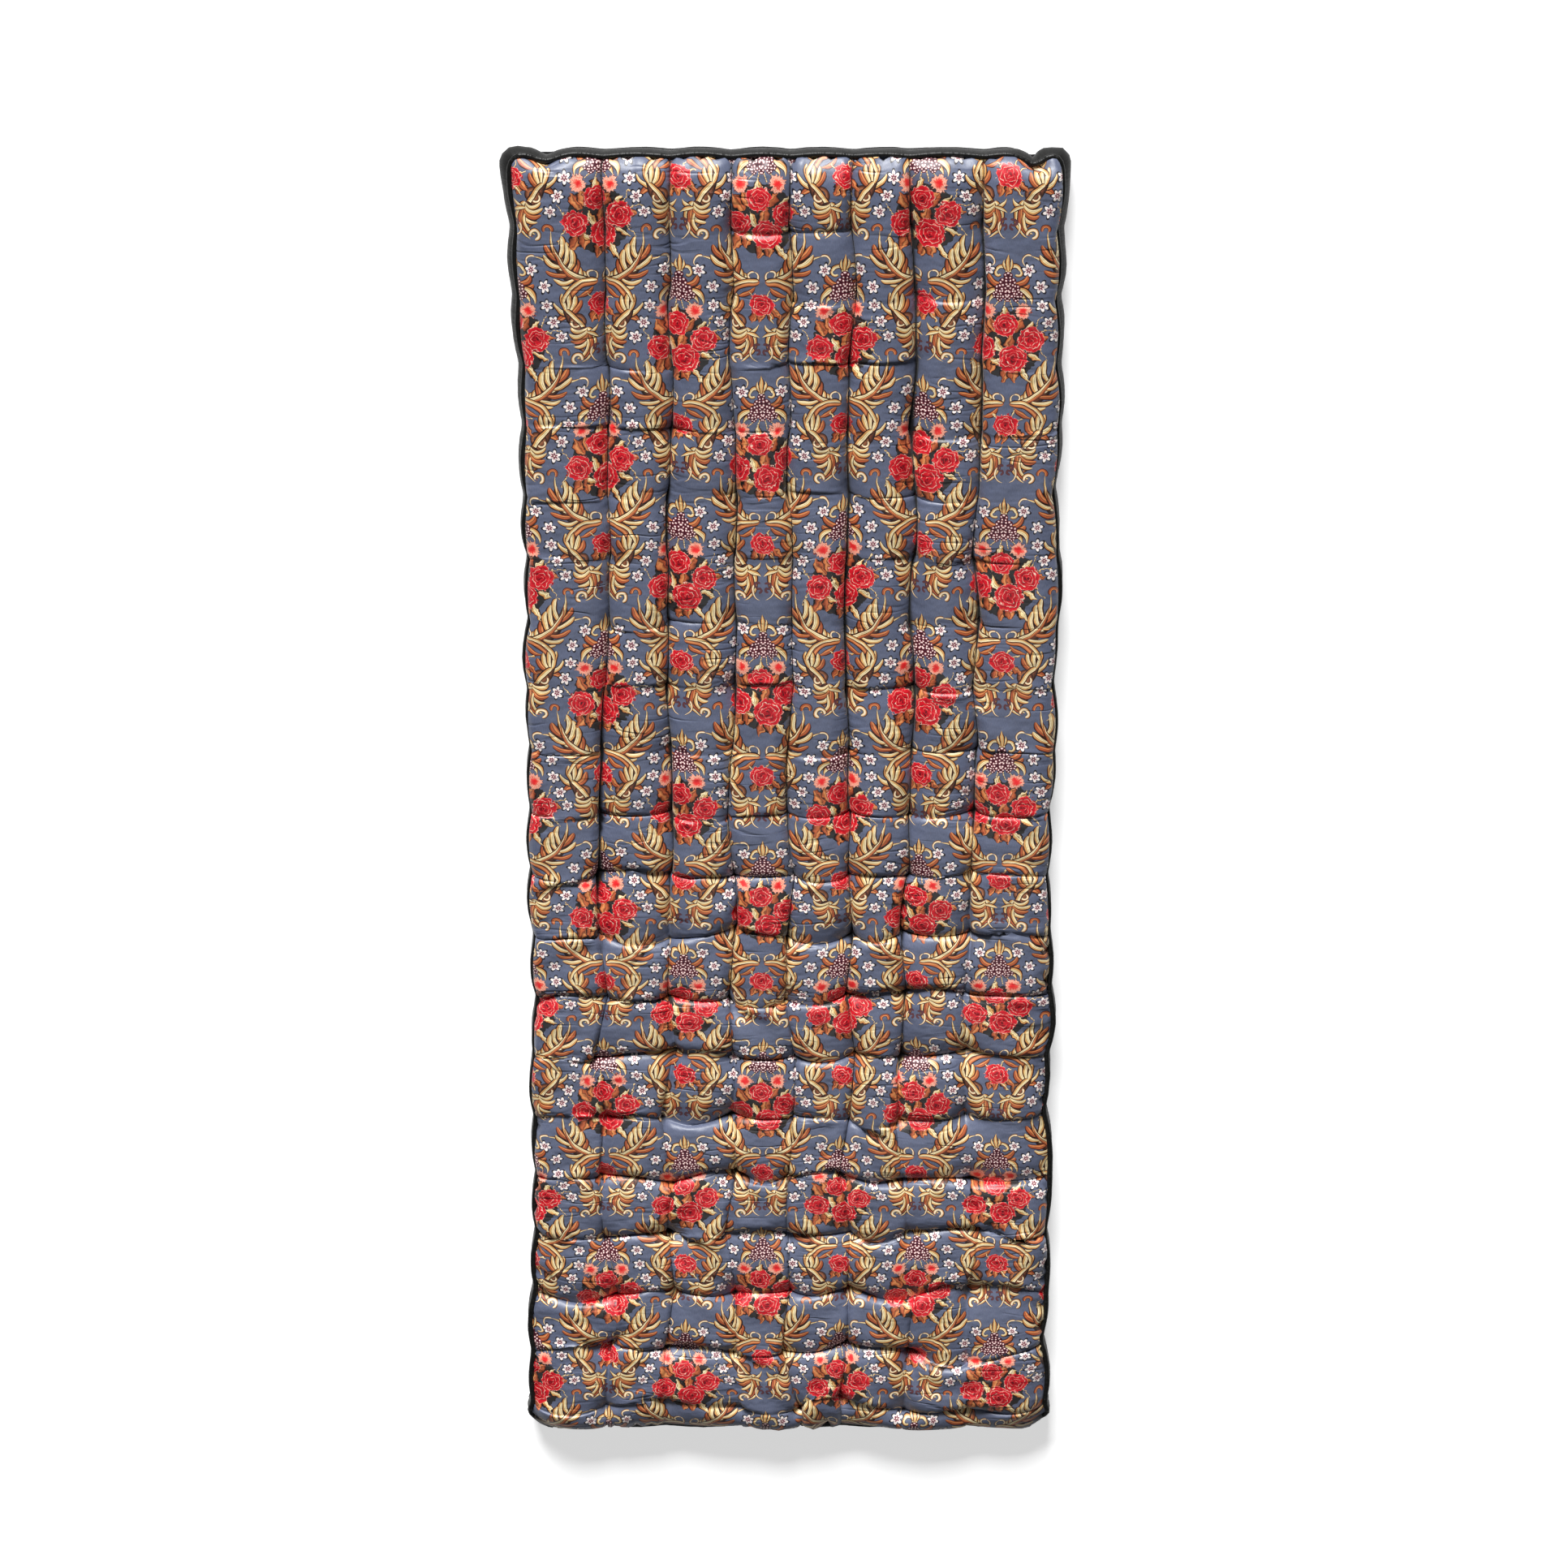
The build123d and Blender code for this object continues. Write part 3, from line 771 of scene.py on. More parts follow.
BLOSSOM_COLOURS = (
    (0.0, (250, 230, 220)), (0.09, (244, 214, 204)), (0.13, (96, 26, 48)), (0.30, (122, 44, 64)),
    (0.40, (238, 206, 206)), (0.50, (255, 246, 240)), (0.70, (255, 244, 238)), (0.74, (34, 26, 34)),
    (0.85, (28, 24, 34)),
)
BERRY_COLOURS = ((0.0, (58, 10, 26)), (0.52, (112, 22, 44)), (0.68, (232, 190, 186)), (0.85, (255, 238, 232)))
ROSE_COLOURS = (
    (0.0, (52, 0, 10)), (0.25, (98, 2, 16)), (0.45, (164, 4, 24)), (0.66, (204, 10, 32)),
    (0.80, (216, 24, 40)), (0.87, (228, 100, 92)), (0.925, (255, 226, 204)), (0.97, (220, 90, 82)),
    (1.0, (70, 0, 12)),
)
BUD_COLOURS = (
    (0.0, (226, 20, 32)), (0.40, (238, 44, 44)), (0.56, (244, 112, 94)), (0.72, (252, 200, 172)),
    (0.80, (238, 110, 92)), (0.90, (252, 206, 178)), (0.96, (120, 30, 30)),
)

# Arcs through three points (x, y, x, y, x, y), with a width, a profile and a tone; the last lies on top
CUP = (
    (0.8, 8.5, 4.3, 6.9, 6.0, 3.0, 0.85, LEAF, BROWN),
    (2.4, 8.4, 3.6, 9.0, 4.8, 8.8, 0.30, LOBE, CREAM),
    (3.2, 8.0, 4.6, 8.4, 5.8, 8.0, 0.34, LOBE, CREAM),
    (4.0, 7.4, 5.4, 7.5, 6.7, 6.8, 0.34, LOBE, RUST),
    (4.6, 6.9, 6.2, 5.8, 8.2, 5.1, 0.30, TAPER, CREAM),
    (8.1, 5.1, 9.1, 5.4, 8.8, 6.3, 0.19, TAPER, PALE),
    (4.9, 6.5, 6.2, 6.0, 7.1, 4.9, 0.38, LOBE, CREAM),
    (5.3, 5.6, 6.3, 4.8, 6.8, 3.6, 0.40, LOBE, RUST),
    (1.8, 8.5, 1.8, 7.7, 2.3, 7.0, 0.27, LOBE, CREAM),
    (2.6, 8.3, 2.4, 7.3, 2.8, 6.4, 0.32, LOBE, CREAM),
    (3.4, 7.8, 2.9, 6.6, 3.1, 5.3, 0.38, LOBE, RUST),
    (5.2, 5.4, 4.6, 4.1, 4.9, 2.5, 0.44, LOBE, CREAM),
    (4.7, 6.3, 4.0, 5.0, 4.2, 3.3, 0.46, LOBE, CREAM),
    (4.1, 7.1, 3.4, 5.8, 3.6, 4.2, 0.46, LOBE, CREAM),
    (0.4, 8.4, 4.3, 6.7, 6.0, 1.8, 0.42, TAPER, CREAM),
    (0.6, 8.5, 4.4, 6.9, 5.8, 3.2, 0.20, LEAF, RUST),
    (5.95, 2.0, 6.35, 1.2, 6.8, 1.95, 0.22, EVEN, RUST),
    (1.1, 8.4, 0.4, 7.6, 1.0, 6.95, 0.20, TAPER, PALE),
    (0.95, 6.97, 1.65, 7.3, 1.3, 7.9, 0.16, EVEN, PALE),
)
LYRE = (
    (0.3, 8.4, 3.4, 9.3, 4.3, 11.8, 0.52, EVEN, RUST),
    (0.9, 8.9, 2.0, 9.9, 3.2, 10.2, 0.34, LEAF, RUST),
    (3.7, 12.9, 4.8, 12.8, 5.4, 13.7, 0.42, LEAF, RUST),
    (3.9, 12.5, 5.0, 12.1, 5.9, 10.7, 0.40, TAPER, CREAM),
    (4.3, 11.4, 3.5, 13.5, 1.9, 15.2, 0.50, EVEN, BROWN),
    (4.2, 12.1, 4.7, 10.9, 4.8, 9.7, 0.36, LOBE, CREAM),
    (4.0, 12.1, 3.9, 10.8, 4.1, 9.4, 0.38, LOBE, CREAM),
    (3.9, 12.3, 3.3, 11.2, 3.2, 9.9, 0.38, LOBE, CREAM),
    (3.8, 12.5, 2.9, 11.8, 2.5, 10.6, 0.36, LOBE, RUST),
    (0.4, 8.2, 3.5, 8.9, 4.7, 11.0, 0.28, EVEN, CREAM),
    (2.5, 14.0, 2.9, 12.6, 3.6, 13.6, 0.27, EVEN, BROWN),
    (3.6, 13.4, 3.3, 14.2, 2.8, 13.8, 0.18, EVEN, PALE),
    (4.3, 11.9, 3.0, 13.2, 1.8, 15.5, 0.36, EVEN, CREAM),
    (1.8, 14.2, 2.7, 15.6, 2.2, 17.6, 0.65, LEAF, BROWN),
    (1.8, 14.3, 2.8, 14.9, 3.8, 14.2, 0.32, LOBE, CREAM),
    (1.8, 14.7, 2.9, 15.5, 4.0, 15.0, 0.34, LOBE, CREAM),
    (1.7, 15.1, 2.7, 16.1, 3.8, 15.9, 0.34, LOBE, RUST),
    (1.6, 15.5, 2.4, 16.7, 3.4, 16.8, 0.32, LOBE, CREAM),
    (1.8, 14.2, 0.9, 16.7, 2.5, 18.8, 0.38, TAPER, CREAM),
    (1.7, 14.8, 1.4, 16.9, 2.8, 18.6, 0.38, LEAF, RUST),
    (1.9, 15.6, 1.9, 17.3, 3.0, 18.3, 0.28, LOBE, CREAM),
    (2.4, 18.5, 3.3, 17.9, 3.0, 18.9, 0.26, EVEN, PALE),
    (1.1, 16.8, 1.1, 18.3, 0.35, 18.8, 0.16, TAPER, PALE),
    (1.9, 15.0, 1.0, 14.7, 0.35, 13.8, 0.30, LEAF, CREAM),
    (1.9, 14.9, 1.0, 15.1, 0.15, 15.6, 0.30, LEAF, CREAM),
    (0.25, 16.6, 0.75, 16.5, 0.45, 17.2, 0.15, EVEN, MAROON),
    (0.5, 17.1, 0.25, 17.4, 0.6, 17.7, 0.14, EVEN, MAROON),
)
PALMETTE = (
    (0.7, 24.6, 1.7, 24.5, 2.4, 23.4, 0.40, LOBE, RUST),
    (0.8, 25.3, 1.9, 25.3, 2.7, 24.6, 0.40, LOBE, RUST),
    (0.9, 25.4, 2.2, 25.5, 2.9, 27.2, 0.42, LEAF, CREAM),
    (1.0, 25.8, 1.7, 26.0, 2.3, 27.0, 0.30, LEAF, CREAM),
    (0.2, 23.2, 0.9, 22.3, 1.5, 23.0, 0.28, EVEN, CREAM),
    (1.5, 22.9, 1.4, 23.5, 0.9, 23.4, 0.20, EVEN, CREAM),
    (0.0, 22.9, 0.5, 22.2, 0.45, 21.4, 0.24, LEAF, CREAM),
)

# Straight leaves from a start to an end (x, y, x, y), with a width; each row has its profile and tone first
PALMETTE_LEAVES = (
    (LEAF, CREAM, (0.0, 23.0, 0.0, 20.7, 0.36)),
    (BEADS, CREAM, (0.6, 26.2, 1.7, 27.4, 0.13), (0.2, 26.2, 0.6, 27.8, 0.13)),
)
BOUQUET_LEAVES = (
    (
        LEAF, RUST,
        (-2.2, -0.8, -3.6, -2.9, 0.85), (-1.6, -1.2, -2.2, -3.4, 0.70), (0.8, -1.2, 1.9, -3.0, 0.75),
        (3.6, -0.6, 5.3, -0.3, 0.55), (-2.4, 2.0, -3.6, 4.4, 0.85), (-1.8, 2.0, -2.0, 4.2, 0.75),
        (0.2, 3.4, -0.5, 5.4, 0.75), (0.6, 3.4, 1.0, 5.4, 0.75), (0.2, 1.0, 0.6, -1.2, 0.70),
    ),
    (
        LEAF, CREAM,
        (-0.6, -3.0, -0.3, -4.8, 0.55), (-0.6, 1.6, -1.4, -0.6, 0.60), (2.2, -1.4, 3.4, -2.6, 0.40),
        (1.6, 3.4, 3.0, 5.6, 0.50), (2.6, 1.6, 4.4, 2.6, 0.45), (-2.0, 2.4, -0.9, 3.0, 0.45),
    ),
    (
        BEADS, CREAM,
        (-4.1, 0.2, -5.2, -1.6, 0.13), (-4.2, 1.2, -5.2, 3.4, 0.13), (3.4, -1.4, 4.2, -3.4, 0.13),
        (4.2, -1.2, 6.0, -1.5, 0.13), (4.0, 1.0, 5.2, 2.6, 0.13),
    ),
)
SMALL_LEAVES = (
    (
        LEAF, RUST,
        (-0.6, 12.0, -1.3, 13.6, 0.55), (0.0, 12.0, -0.3, 13.6, 0.50), (0.8, 12.0, 1.2, 13.4, 0.50),
        (1.0, 11.6, 2.4, 13.1, 0.45),
    ),
    (
        EVEN, CREAM,
        (0.6, 12.4, 1.6, 13.6, 0.14), (1.2, 10.6, 2.1, 10.4, 0.12), (-0.8, 10.6, -1.6, 9.6, 0.12),
        (0.5, 10.2, 0.9, 9.3, 0.12),
    ),
)

# Round motifs, as a place and a radius
BLOSSOMS = ((2.5, -9.2, 0.88), (4.1, -7.1, 0.88), (4.3, -4.7, 0.88), (5.1, -2.5, 0.88), (6.1, -0.6, 0.88))
BERRIES = (
    (0.05, 23.5, 0.52), (0.52, 24.35, 0.56), (0.0, 25.05, 0.50), (1.06, 25.15, 0.58), (0.50, 25.75, 0.60),
    (1.50, 25.95, 0.50), (0.0, 26.35, 0.44), (1.02, 26.40, 0.42),
)
ROSES = ((-0.3, -2.2, 1.55), (-3.05, 0.95, 1.65), (3.0, -0.2, 1.65), (0.7, 2.3, 1.85))
BUDS = ((-2.6, -4.0, 1.2), (1.9, -4.0, 1.2))
PETAL_RINGS = ((5, 0.47, 0.60, 0.0), (4, 0.30, 0.47, 0.7), (3, 0.15, 0.33, 0.2), (1, 0.0, 0.17, 1.0))


def srgb(red, green, blue):
    """A colour from its 0-255 display values."""
    parts = [value / 255.0 for value in (red, green, blue)]
    return tuple(v / 12.92 if v <= 0.04045 else ((v + 0.055) / 1.055) ** 2.4 for v in parts) + (1.0,)


class Sheet:
    """One material's nodes, added a value at a time."""

    def __init__(self, name):
        self.material = bpy.data.materials.new(name)
        self.material.use_nodes = True
        self.tree = self.material.node_tree
        self.shader = self.tree.nodes["Principled BSDF"]

    def feed(self, socket, value):
        """Links a socket, or sets a plain value."""
        if isinstance(value, bpy.types.NodeSocket):
            self.tree.links.new(value, socket)
        elif value is not None:
            socket.default_value = value

    def node(self, kind, *values, **settings):
        """A node with its settings, and its inputs in order as sockets or plain values."""
        made = self.tree.nodes.new(kind)
        for key, value in settings.items():
            setattr(made, key, value)
        for socket, value in zip(made.inputs, values):
            self.feed(socket, value)
        return made

    def math(self, operation, *values):
        """A number from a sum."""
        return self.node("ShaderNodeMath", *values, operation=operation).outputs[0]

    def scale(self, value, factor, shift=0.0):
        """A number times a factor, plus a shift."""
        return self.math("MULTIPLY_ADD", value, factor, shift)

    def vector(self, operation, *values):
        """A number from vectors."""
        return self.node("ShaderNodeVectorMath", *values, operation=operation).outputs["Value"]

    def join(self, x, y, z=1.0):
        """A flat place as a vector, with 1 as its third part for shifting it."""
        return self.node("ShaderNodeCombineXYZ", x, y, z).outputs[0]

    def length(self, x, y):
        """How far a place is from the middle."""
        return self.vector("LENGTH", self.join(x, y, 0.0))

    def local(self, place, centre, turn, size):
        """A place as seen from a centre, turned and scaled."""
        cos, sin = math.cos(turn), math.sin(turn)
        ahead = (centre[0] * cos + centre[1] * sin) / size[0]
        aside = (centre[1] * cos - centre[0] * sin) / size[1]
        x = self.vector("DOT_PRODUCT", place, (cos / size[0], sin / size[0], -ahead))
        y = self.vector("DOT_PRODUCT", place, (-sin / size[1], cos / size[1], -aside))
        return x, y

    def mix(self, share, low, high):
        """From low to high by share."""
        made = self.node("ShaderNodeMix", share, None, low, high, data_type="FLOAT")
        return made.outputs[0]

    def mix_colour(self, share, low, high):
        """From one colour to another by share."""
        made = self.node("ShaderNodeMix", share, *[None] * 5, low, high, data_type="RGBA")
        return made.outputs[2]

    def curve(self, value, points):
        """A number read off a drawn curve."""
        made = self.node("ShaderNodeFloatCurve")
        self.feed(made.inputs["Value"], value)
        made.mapping.extend = "HORIZONTAL"
        line = made.mapping.curves[0]
        while len(line.points) < len(points):
            line.points.new(0.5, 0.5)
        for point, place in zip(line.points, points):
            point.location = place
            point.handle_type = "AUTO_CLAMPED"
        made.mapping.update()
        return made.outputs[0]

    def ramp(self, value, stops):
        """A colour read off a row of display colours."""
        made = self.node("ShaderNodeValToRGB", value)
        elements = made.color_ramp.elements
        while len(elements) < len(stops):
            elements.new(1.0)
        for element, (place, colour) in zip(elements, stops):
            element.position = place
            element.color = srgb(*colour)
        return made.outputs[0]

    def noise(self, place, scale=1.0, detail=2.0):
        """Soft random numbers about 0.5, at so many grains to a metre."""
        made = self.node("ShaderNodeTexNoise", place)
        made.inputs["Scale"].default_value = scale
        made.inputs["Detail"].default_value = detail
        return made.outputs[0]

    def stretched(self, u, v, along_u, along_v):
        """A place on the cloth with a different scale along each thread."""
        return self.join(self.math("MULTIPLY", u, along_u), self.math("MULTIPLY", v, along_v), 0.0)

    def cloth_place(self):
        """The cloth's own map in metres, and its two parts."""
        flat = self.node("ShaderNodeUVMap", uv_map="cloth").outputs[0]
        return flat, *self.node("ShaderNodeSeparateXYZ", flat).outputs[:2]

    def finish(self, colour, height, distance, strength, roughness, specular, sheen, sheen_roughness):
        """The shader's colour, relief and shine; roughness is a number, or a field with its gain and base."""
        inputs = self.shader.inputs
        self.feed(inputs["Base Color"], colour)
        bump = self.node("ShaderNodeBump")
        bump.inputs["Strength"].default_value = strength
        bump.inputs["Distance"].default_value = distance
        self.feed(bump.inputs["Height"], height)
        self.feed(inputs["Normal"], bump.outputs[0])
        self.feed(inputs["Roughness"], self.scale(*roughness) if isinstance(roughness, tuple) else roughness)
        inputs["Specular IOR Level"].default_value = specular
        inputs["Sheen Weight"].default_value = sheen
        inputs["Sheen Roughness"].default_value = sheen_roughness
        return self.material


def repeat_place(sheet, x, y, middle, mirrored):
    """A point's place inside the half-drop repeat, for motifs within 8 cm above and below middle."""
    half = REPEAT_WIDTH / 2.0
    band = sheet.math("FLOOR", sheet.scale(y, 1.0 / ROW_DROP, 0.5 - middle / ROW_DROP))
    local_y = sheet.scale(band, -ROW_DROP, y)
    local_x = sheet.math("WRAP", sheet.scale(band, half, x), half, -half)
    if mirrored:
        local_x = sheet.math("ABSOLUTE", local_x)
    return sheet.join(local_x, local_y)


def circle_through(one, two, three):
    """Centre and radius of the circle through three points."""
    (ax, ay), (bx, by), (cx, cy) = one, two, three
    turn = 2.0 * (ax * (by - cy) + bx * (cy - ay) + cx * (ay - by))
    a, b, c = ax * ax + ay * ay, bx * bx + by * by, cx * cx + cy * cy
    x = (a * (by - cy) + b * (cy - ay) + c * (ay - by)) / turn
    y = (a * (cx - bx) + b * (ax - cx) + c * (bx - ax)) / turn
    return (x, y), math.hypot(ax - x, ay - y)


def put_stroke(sheet, paint, offset, shape, tone):
    """Lays a stroke over the paint: the value says which tone, and where across the stroke."""
    across = sheet.math("DIVIDE", offset, shape)
    inside = sheet.math("COMPARE", across, 0.0, STROKE_REACH)
    return sheet.mix(inside, paint, sheet.scale(across, STROKE_SPREAD, tone + 0.5))


def draw_arcs(sheet, paint, where, arcs):
    """Lays strokes along arcs, the last on top."""
    for x1, y1, x2, y2, x3, y3, width, profile, tone in arcs:
        points = ((x1, y1), (x2, y2), (x3, y3))
        centre, radius = circle_through(*points)
        angles = [math.atan2(y - centre[1], x - centre[0]) for x, y in points]
        forward = (angles[2] - angles[0]) % WHOLE_TURN
        ahead = (angles[1] - angles[0]) % WHOLE_TURN < forward
        span, sign = (forward, 1.0) if ahead else (WHOLE_TURN - forward, -1.0)
        x, y = sheet.local(where, centre, angles[0] + sign * span / 2.0, (1.0, 1.0))
        along = sheet.scale(sheet.math("ARCTAN2", y, x), sign / span, 0.5)
        shape = sheet.curve(along, profile)
        offset = sheet.scale(sheet.length(x, y), 1.0 / width, -radius / width)
        paint = put_stroke(sheet, paint, offset, shape, tone)
    return paint


def draw_leaves(sheet, paint, where, rows):
    """Lays straight leaves, the last on top."""
    for profile, tone, *leaves in rows:
        for x1, y1, x2, y2, width in leaves:
            run, turn = math.hypot(x2 - x1, y2 - y1), math.atan2(y2 - y1, x2 - x1)
            x, y = sheet.local(where, (x1, y1), turn, (run, width))
            paint = put_stroke(sheet, paint, y, sheet.curve(x, profile), tone)
    return paint


def put_paint(sheet, colour, paint):
    """Colours the strokes over what lies below."""
    bands = STROKE_COLOURS.items()
    stops = [((tone + place) / TONES, tint) for tone, row in bands for place, tint in row]
    painted = sheet.math("GREATER_THAN", paint, BARE / 2.0)
    return sheet.mix_colour(painted, colour, sheet.ramp(sheet.math("DIVIDE", paint, TONES), stops))


def closer_of(sheet, first, first_far, second, second_far):
    """The closer of two places."""
    closer = sheet.math("LESS_THAN", second_far, first_far)
    x = sheet.mix(closer, first[0], second[0])
    y = sheet.mix(closer, first[1], second[1])
    return (x, y), sheet.math("MINIMUM", first_far, second_far)


def nearest(sheet, where, spots):
    """The place seen from the nearest of several round spots, in spot radii."""
    chosen, best = None, None
    for x, y, radius in spots:
        local = sheet.local(where, (x, y), x * 1.7 + y, (radius, radius))
        far = sheet.length(*local)
        chosen, best = (local, far) if best is None else closer_of(sheet, chosen, best, local, far)
    return chosen, best


def angle_of(sheet, local, factor):
    """The direction of a place, times a factor."""
    return sheet.math("MULTIPLY", sheet.math("ARCTAN2", local[1], local[0]), factor)


def draw_blossoms(sheet, colour, x, y):
    """Six-petalled blossoms in a chain up each side of the palmette."""
    local, far = nearest(sheet, repeat_place(sheet, x, y, -5.2, True), BLOSSOMS)
    lobes = sheet.math("ABSOLUTE", sheet.math("COSINE", angle_of(sheet, local, 3.0)))
    depth = sheet.math("DIVIDE", far, sheet.scale(lobes, 0.60, 0.40))
    colours = sheet.ramp(sheet.math("MULTIPLY", depth, 0.8), BLOSSOM_COLOURS)
    return sheet.mix_colour(sheet.math("LESS_THAN", depth, 1.16), colour, colours)


def draw_berries(sheet, colour, x, y):
    """The cluster of small dark florets in the middle of each palmette."""
    local, far = nearest(sheet, repeat_place(sheet, x, y, 24.0, True), BERRIES)
    lobes = sheet.math("ABSOLUTE", sheet.math("COSINE", angle_of(sheet, local, 2.5)))
    away = sheet.math("ABSOLUTE", sheet.math("SUBTRACT", far, 0.60))
    colours = sheet.ramp(sheet.scale(away, -1.9, lobes), BERRY_COLOURS)
    return sheet.mix_colour(sheet.math("LESS_THAN", far, 1.0), colour, colours)


def rose_colours(sheet, local, far, grain):
    """Overlapping petals, from the outer ring in to the heart: crimson, dark inside, pale at the rim."""
    place = sheet.join(*local)
    depth = sheet.math("MULTIPLY", far, 0.5)
    for count, reach, radius, start in PETAL_RINGS:
        for petal in range(count):
            turn = start + petal * WHOLE_TURN / count
            centre = (reach * math.cos(turn), reach * math.sin(turn))
            x, y = sheet.local(place, centre, turn, (radius, radius))
            away = sheet.length(x, y)
            lit = sheet.scale(x, 0.17, sheet.math("MULTIPLY", away, 0.83))
            depth = sheet.mix(sheet.math("LESS_THAN", away, 1.0), depth, lit)
    return sheet.ramp(sheet.scale(grain, 0.35, depth), ROSE_COLOURS)


def draw_roses(sheet, colour, x, y, grain):
    """Bouquets of four roses and two buds on a dark shade, and the small rose inside each lyre."""
    where = repeat_place(sheet, x, y, 0.0, False)
    shade = sheet.length(*sheet.local(where, (0.1, 0.4), 0.0, (4.3, 4.6)))
    colour = sheet.mix_colour(sheet.math("LESS_THAN", shade, 0.96), colour, srgb(44, 42, 42))
    colour = put_paint(sheet, colour, draw_leaves(sheet, BARE, where, BOUQUET_LEAVES))
    low = repeat_place(sheet, x, y, 12.2, False)
    colour = put_paint(sheet, colour, draw_leaves(sheet, BARE, low, SMALL_LEAVES))
    local, far = nearest(sheet, where, ROSES)
    small = sheet.local(low, (0.0, 11.2), 0.6, (1.62, 1.38))
    local, far = closer_of(sheet, local, far, small, sheet.length(*small))
    edge = sheet.scale(grain, 0.5, far)
    inside = sheet.math("LESS_THAN", edge, 1.0)
    colour = sheet.mix_colour(inside, colour, rose_colours(sheet, local, far, grain))
    local, far = nearest(sheet, where, BUDS)
    frill = sheet.math("SINE", angle_of(sheet, local, 7.0))
    edge = sheet.scale(sheet.math("ABSOLUTE", frill), 0.20, far)
    colours = sheet.ramp(edge, BUD_COLOURS)
    return sheet.mix_colour(sheet.math("LESS_THAN", edge, 1.0), colour, colours)


def drift(sheet, flat, u, v, grains):
    """Two soft random numbers about 0, to shift a place with."""
    x = sheet.math("SUBTRACT", sheet.noise(flat, grains, 1.0), 0.5)
    y = sheet.math("SUBTRACT", sheet.noise(sheet.stretched(v, u, 1.0, 1.0), grains, 1.0), 0.5)
    return x, y


def pinched_lines(sheet, u, v, along_u, along_v):
    """Sparse sharp wrinkles, long the one way and short the other, as a height below 0."""
    field = sheet.noise(sheet.stretched(u, v, along_u, along_v), detail=1.0)
    away = sheet.math("ABSOLUTE", sheet.math("SUBTRACT", field, 0.5))
    line = sheet.math("SUBTRACT", 1.0, sheet.math("MINIMUM", sheet.math("MULTIPLY", away, 16.0), 1.0))
    where = sheet.noise(sheet.stretched(u, v, 14.0, 14.0), detail=1.0)
    often = sheet.math("MAXIMUM", sheet.scale(where, 5.0, -2.3), 0.0)
    return sheet.math("MULTIPLY", sheet.math("MULTIPLY", line, sheet.math("MINIMUM", often, 1.0)), -0.26)


def printed_sateen():
    """Roses, scrolls and blossoms on slate-blue sateen, with painted shade darkening the colour in the depth
    of the creases.
    """
    sheet = Sheet("printed_sateen")
    flat, u, v = sheet.cloth_place()
    grain = sheet.math("SUBTRACT", sheet.noise(flat, 320.0), 0.5)
    drift_x, drift_y = drift(sheet, flat, u, v, DRIFT_GRAINS)
    x = sheet.scale(drift_x, PRINT_DRIFT, sheet.scale(u, PRINT_WIDE, -PRINT_LEFT))
    y = sheet.scale(drift_y, PRINT_DRIFT, sheet.scale(v, PRINT_LONG, -PRINT_TOP))
    paint = draw_arcs(sheet, BARE, repeat_place(sheet, x, y, 4.5, True), CUP)
    paint = draw_arcs(sheet, paint, repeat_place(sheet, x, y, 14.0, True), LYRE)
    crest = repeat_place(sheet, x, y, 24.0, True)
    paint = draw_leaves(sheet, draw_arcs(sheet, paint, crest, PALMETTE), crest, PALMETTE_LEAVES)
    tint = sheet.noise(sheet.stretched(u, v, 900.0, 220.0), detail=3.0)
    ground = sheet.mix_colour(tint, srgb(76, 83, 105), srgb(108, 115, 139))
    colour = put_paint(sheet, ground, paint)
    colour = draw_blossoms(sheet, colour, x, y)
    colour = draw_berries(sheet, colour, x, y)
    warp_x, warp_y = drift(sheet, flat, u, v, WARP_GRAINS)
    rose_x = sheet.scale(warp_x, ROSE_WARP, x)
    rose_y = sheet.scale(warp_y, ROSE_WARP, y)
    colour = draw_roses(sheet, colour, rose_x, rose_y, grain)
    # Painted shade: the colour darkens to near black where the cloth lies deep in a crease
    sunk = sheet.node("ShaderNodeAttribute", attribute_name="sunk").outputs["Fac"]
    painted_crease_shade = sheet.curve(sunk, ((0.0, 0.0), (0.54, 0.02), (0.70, 0.50), (0.84, 0.97), (1.0, 0.98)))
    colour = sheet.mix_colour(painted_crease_shade, colour, srgb(16, 14, 16))
    weave = sheet.noise(sheet.stretched(u, v, 2600.0, 420.0), detail=1.0)
    cockle = sheet.noise(sheet.stretched(u, v, 26.0, 34.0))
    height = sheet.scale(cockle, 1.1, pinched_lines(sheet, u, v, 9.0, 48.0))
    height = sheet.scale(weave, 0.03, height)
    return sheet.finish(colour, height, 0.0036, 0.9, (weave, 0.16, 0.37), 0.7, 0.08, 0.4)


def border_sateen():
    """Black sateen with a soft shine and short gathers along its seams."""
    sheet = Sheet("border_sateen")
    flat, u, v = sheet.cloth_place()
    patch = sheet.noise(flat, 26.0)
    weave = sheet.noise(sheet.stretched(u, v, 420.0, 2600.0), detail=1.0)
    shade = sheet.scale(patch, 0.6, sheet.math("MULTIPLY", weave, 0.4))
    colour = sheet.mix_colour(shade, srgb(5, 5, 5), srgb(22, 22, 20))
    gathers = sheet.noise(sheet.stretched(u, v, 190.0, 16.0))
    height = sheet.scale(weave, 0.05, gathers)
    return sheet.finish(colour, height, 0.0022, 0.8, (weave, 0.18, 0.34), 0.32, 0.05, 0.35)


